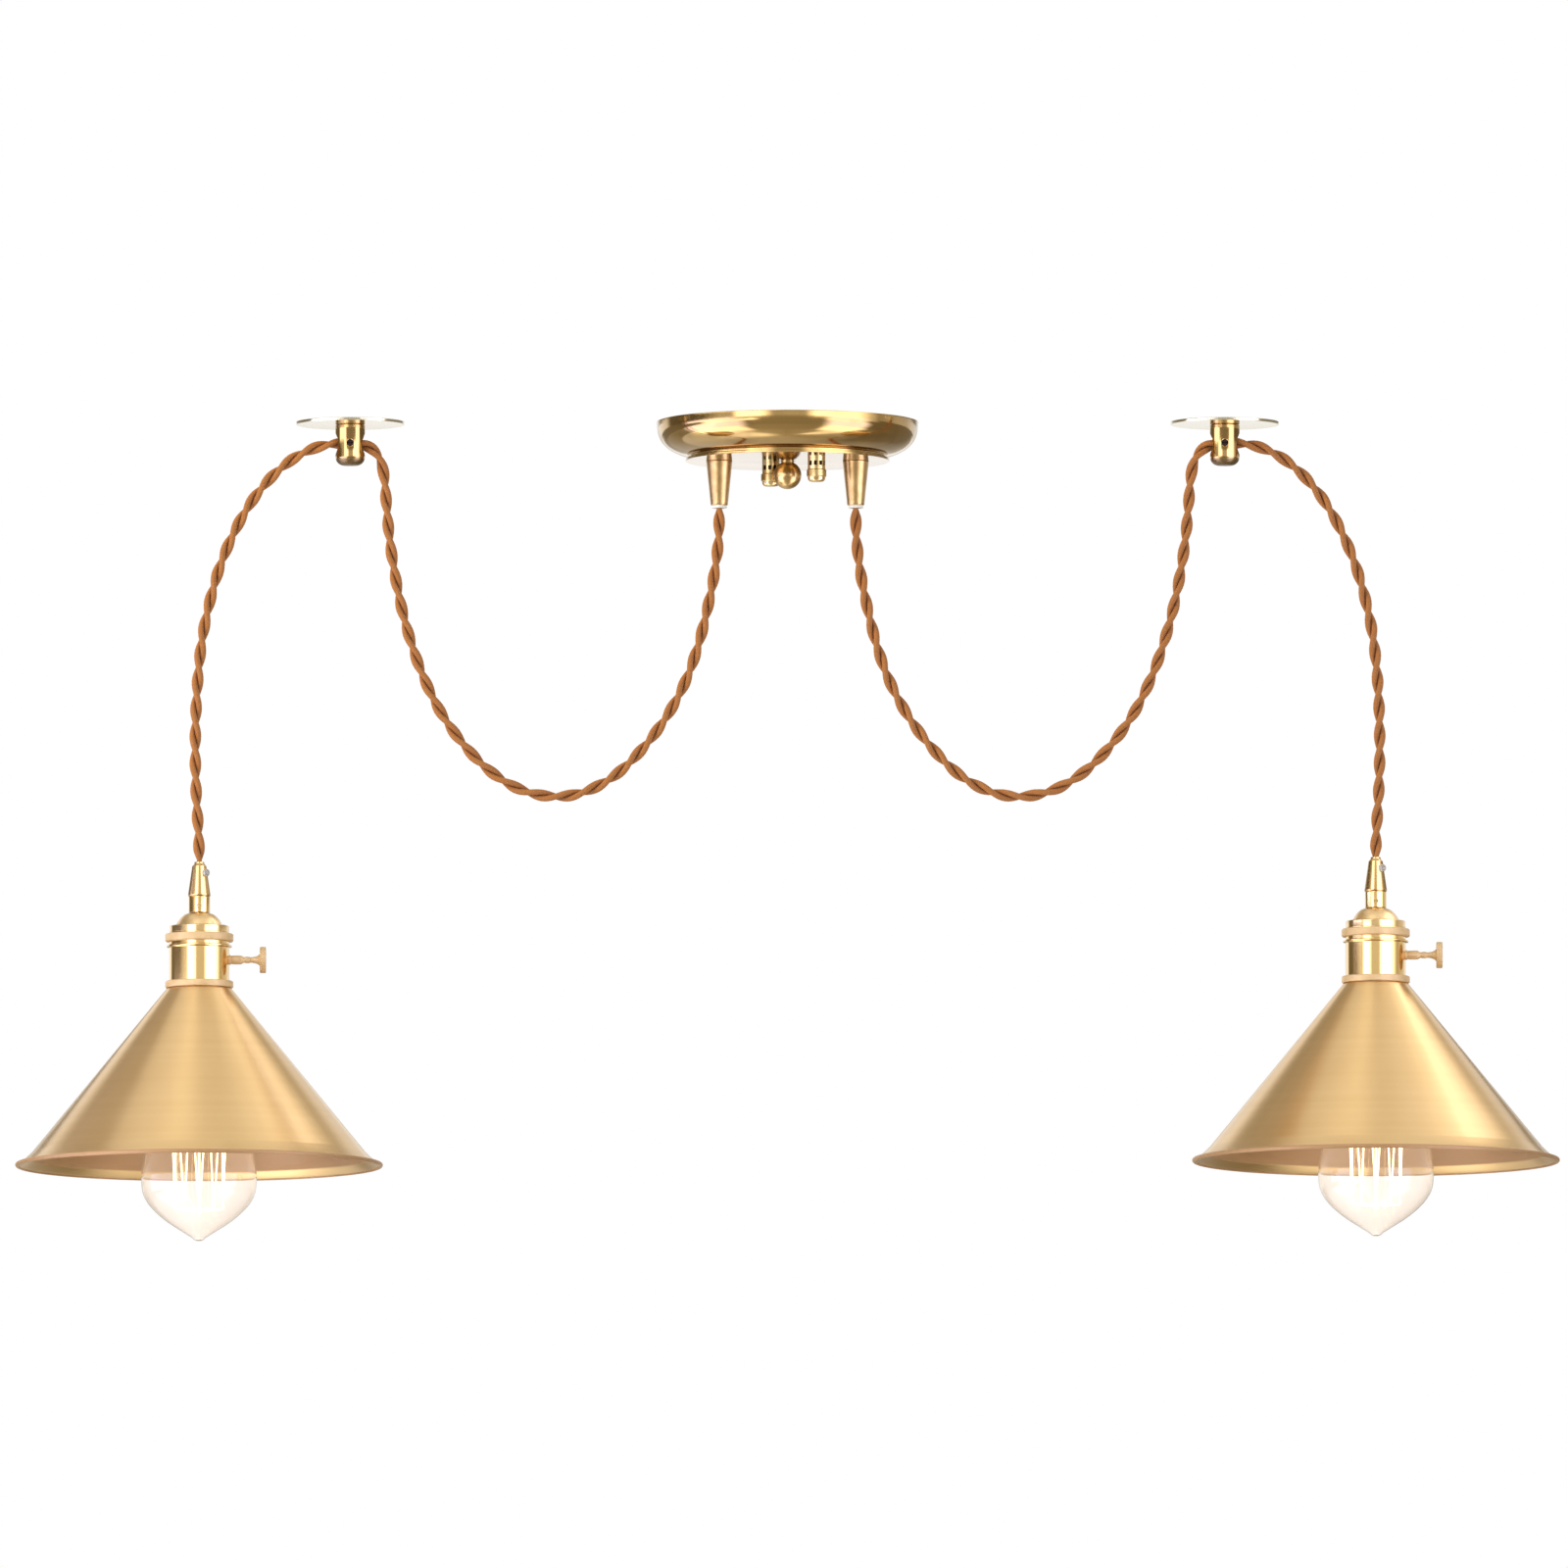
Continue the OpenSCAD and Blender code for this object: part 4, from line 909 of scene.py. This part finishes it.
bm = bmesh.new()
bmesh.ops.create_circle(bm, cap_ends=True, segments=64, radius=stageSet["reach"])
bmesh.ops.translate(bm, verts=bm.verts, vec=(0, 0, stageSet["floor"]))
floor = meshObject("paleFloor", bm)
material, tree, shader = blankMaterial("paleFloor", {"Roughness": 0.9,
    "Base Color": tone(stageSet["floorTone"]), "Emission Color": (1, 1, 1, 1),
    "Emission Strength": 0.15})
under = put(tree, "MixShader", {0: put(tree, "NewGeometry").outputs["Backfacing"],
    1: shader.outputs[0], 2: put(tree, "BsdfTransparent").outputs[0]})
tree.links.new(under.outputs[0], tree.nodes["Material Output"].inputs["Surface"])
floor.data.materials.append(material)

world = bpy.data.worlds.new("paleRoom")
scene.world = world
world.use_nodes = True
tree = world.node_tree
tree.nodes.clear()
seen = put(tree, "LightPath").outputs
shown = sums(tree, "MAXIMUM", sums(tree, "MAXIMUM", seen["Is Camera Ray"],
    seen["Is Glossy Ray"]), seen["Is Transmission Ray"])
whole = put(tree, "MixShader", {0: shown,
    1: put(tree, "Background", {"Color": (1, 1, 1, 1), "Strength": stageSet["world"]}).outputs[0],
    2: put(tree, "Background", {"Color": (1, 1, 1, 1), "Strength": 1.0}).outputs[0]})
tree.links.new(whole.outputs[0], put(tree, "OutputWorld").inputs["Surface"])

# azimuth is measured from the camera's side towards +X; height in metres
lampList = [
    {"name": "keyLeft", "azimuth": -62, "height": 0.5, "away": 2.2, "size": (1.0, 2.0),
        "power": 40},
    {"name": "fillRight", "azimuth": 50, "height": 0.25, "away": 2.6, "size": (2.0, 2.0),
        "power": 12},
    {"name": "topBack", "azimuth": -150, "height": 2.2, "away": 1.2, "size": (0.8, 1.6),
        "power": 12},
]
# the room that only gloss sees: its brightness by azimuth below, level with and above the lamps,
# and three nearer screens: above the ceiling's height, round the shades and beside the swags
glowFull = 5.0  # the brightness that a ramp's full white stands for
roomSet = {"radius": 6.0, "foot": -2.5, "top": 8.4, "blue": 0.12, "footTurn": (-0.75, -0.5),
    "nearTurn": (1.2, 1.9), "wideTurn": (4.0, 5.6), "topTurn": (2.7, 3.7), "hearth": (0.1, 0.5),
    "hearthLevel": 0.7,
    "nearBands": [(-180, 0.75), (-150, 0.9), (-122, 2.0), (-100, 2.4), (-76, 2.2), (-50, 0.8),
        (0, 0.6), (46, 0.7), (58, 2.2), (80, 2.2), (90, 0.9), (105, 0.75), (118, 0.7),
        (135, 0.6), (150, 0.6), (180, 0.75)],
    "farBands": [(-180, 0.7), (-160, 0.8), (-140, 1.0), (-124, 1.0), (-112, 1.3), (-102, 4.2),
        (-50, 4.2), (-40, 0.6), (34, 0.5), (44, 4.0), (76, 4.0), (88, 0.4), (120, 0.25),
        (150, 0.3), (165, 0.5), (180, 0.7)],
    "midBands": [(-180, 0.6), (-150, 0.3), (-86, 0.3), (-76, 3.6), (-32, 3.6), (-24, 0.5),
        (32, 0.45), (39, 3.4), (70, 3.2), (80, 0.3), (150, 0.28), (180, 0.6)],
    "levelBands": [(-180, 0.78), (-168, 0.8), (-158, 1.2), (-152, 1.3), (-134, 1.2),
        (-126, 0.2), (-80, 0.18), (-60, 0.85), (-50, 1.0), (-44, 4.4), (-24, 4.4), (-13, 0.88),
        (16, 0.88), (26, 4.4), (62, 4.2), (78, 1.4), (88, 0.6), (104, 0.8), (130, 0.9),
        (140, 1.1), (160, 1.0), (168, 0.8), (180, 0.78)],
    "topBands": [(-180, 0.5), (-85, 0.46), (-60, 0.58), (-36, 0.9), (-28, 4.0), (-10, 4.0),
        (-2, 1.0), (45, 1.0), (72, 2.9), (117, 2.8), (134, 0.45), (180, 0.5)]}
screenSet = {"radius": 2.5, "foot": 0.13, "top": 0.34, "blue": 0.12,
    "bands": [(-180, 1.0), (-160, 1.0), (-148, 0.28), (-92, 0.25), (-82, 3.8), (-44, 3.8),
        (-32, 0.42), (34, 0.4), (44, 3.8), (68, 3.8), (80, 0.22), (150, 0.25), (162, 1.0),
        (180, 1.0)]}
skirtSet = {"radius": 1.0, "foot": -0.62, "top": -0.28, "blue": 0.6,
    "bands": [(-180, 0.7), (-150, 0.5), (-124, 0.4), (-108, 0.5), (-98, 3.0), (-46, 3.0),
        (-36, 0.5), (32, 0.45), (42, 3.0), (72, 3.0), (82, 0.3), (150, 0.28), (180, 0.6)]}
sashSet = {"radius": 1.0, "foot": -0.17, "top": -0.09, "blue": 0.6,
    "bands": [(-180, 1.15), (-158, 1.05), (-148, 0.3), (-104, 0.26), (-96, 3.0),
        (-52, 3.2), (-40, 1.0), (-13, 0.5), (16, 0.5), (32, 1.2), (40, 3.2), (68, 3.2),
        (78, 1.2), (88, 0.28), (148, 0.3), (158, 1.05), (180, 1.15)]}


def standAt(setting, aim=Vector((0, 0, -0.2))):
    angle = math.radians(setting["azimuth"])
    spot = Vector((math.sin(angle) * setting["away"], -math.cos(angle) * setting["away"],
        setting["height"]))
    return Matrix.Translation(spot) @ (aim - spot).to_track_quat("-Z", "Y").to_matrix().to_4x4()


for setting in lampList:
    light = bpy.data.lights.new(setting["name"], "AREA")
    light.shape = "RECTANGLE"
    light.size, light.size_y = setting["size"]
    light.energy = setting["power"]
    lightPiece = bpy.data.objects.new(setting["name"], light)
    scene.collection.objects.link(lightPiece)
    lightPiece.matrix_world = standAt(setting)
    lightPiece.visible_camera = False
    lightPiece.visible_transmission = lightPiece.visible_glossy = False


def glowWall(name, setting, disc=False):  # a round wall that only gloss sees
    bm = bmesh.new()
    bmesh.ops.create_circle(bm, segments=96, radius=setting["radius"], cap_ends=disc)
    bmesh.ops.translate(bm, verts=bm.verts, vec=(0, 0, setting["foot"]))
    rim = [e for e in bm.edges if len(e.link_faces) < 2]
    made = newVerts(bmesh.ops.extrude_edge_only(bm, edges=rim))
    bmesh.ops.translate(bm, verts=made, vec=(0, 0, setting["top"] - setting["foot"]))
    wall = meshObject(name, bm)
    wall.visible_camera = wall.visible_diffuse = False
    wall.visible_transmission = wall.visible_shadow = False
    material, tree = blankMaterial(name, {})[:2]
    tree.nodes.clear()
    wall.data.materials.append(material)
    parts = splitUp(tree, put(tree, "TexCoord").outputs["Object"])
    turn = sums(tree, "ARCTAN2", parts[0], sums(tree, "MULTIPLY", parts[1], -1.0))
    return tree, parts, fadeIn(tree, turn, -math.pi, math.pi)


def bandRamp(tree, share, stops, blue):
    ramp = put(tree, "ValToRGB", {0: share})
    marks = ramp.color_ramp.elements
    while len(marks) < len(stops):
        marks.new(0.5)
    for mark, (azimuth, level) in zip(marks, stops):
        mark.position = (azimuth + 180) / 360
        warmth = max(0.0, 1 - level)  # the dark parts are brown, the brightest a little blue
        cool = min(1.0, max(0.0, level - 1.5))
        mark.color = [level * (1 - part * warmth) * gain / glowFull for part, gain in
            ((0, 1), (0.18, 1 + 0.02 * cool), (0.5, 1 + blue * cool))] + [1]
    return ramp.outputs[0]


def glowOut(tree, colour):
    glow = put(tree, "Emission", {"Color": colour, "Strength": glowFull})
    tree.links.new(glow.outputs[0], put(tree, "OutputMaterial").inputs["Surface"])


tree, parts, share = glowWall("glossRoom", roomSet, True)
near, far, middle, level, top = (bandRamp(tree, share, roomSet[key + "Bands"], roomSet["blue"])
    for key in ("near", "far", "mid", "level", "top"))
reach = fromAxis(tree, parts)
plain = [roomSet["hearthLevel"] * part / glowFull for part in (1, 0.92, 0.8)] + [1]
foot = blendTones(tree, fadeIn(tree, reach, *roomSet["hearth"]), plain, near)
for turn, bands in (("nearTurn", far), ("wideTurn", middle)):
    foot = blendTones(tree, fadeIn(tree, reach, *roomSet[turn]), foot, bands)
walls = blendTones(tree, fadeIn(tree, parts[2], *roomSet["footTurn"]), foot, level)
glowOut(tree, blendTones(tree, fadeIn(tree, parts[2], *roomSet["topTurn"]), walls, top))

for name, setting in (("glossScreen", screenSet), ("glossSkirt", skirtSet),
        ("glossSash", sashSet)):
    tree, parts, share = glowWall(name, setting)
    glowOut(tree, bandRamp(tree, share, setting["bands"], setting["blue"]))
print("stage set")
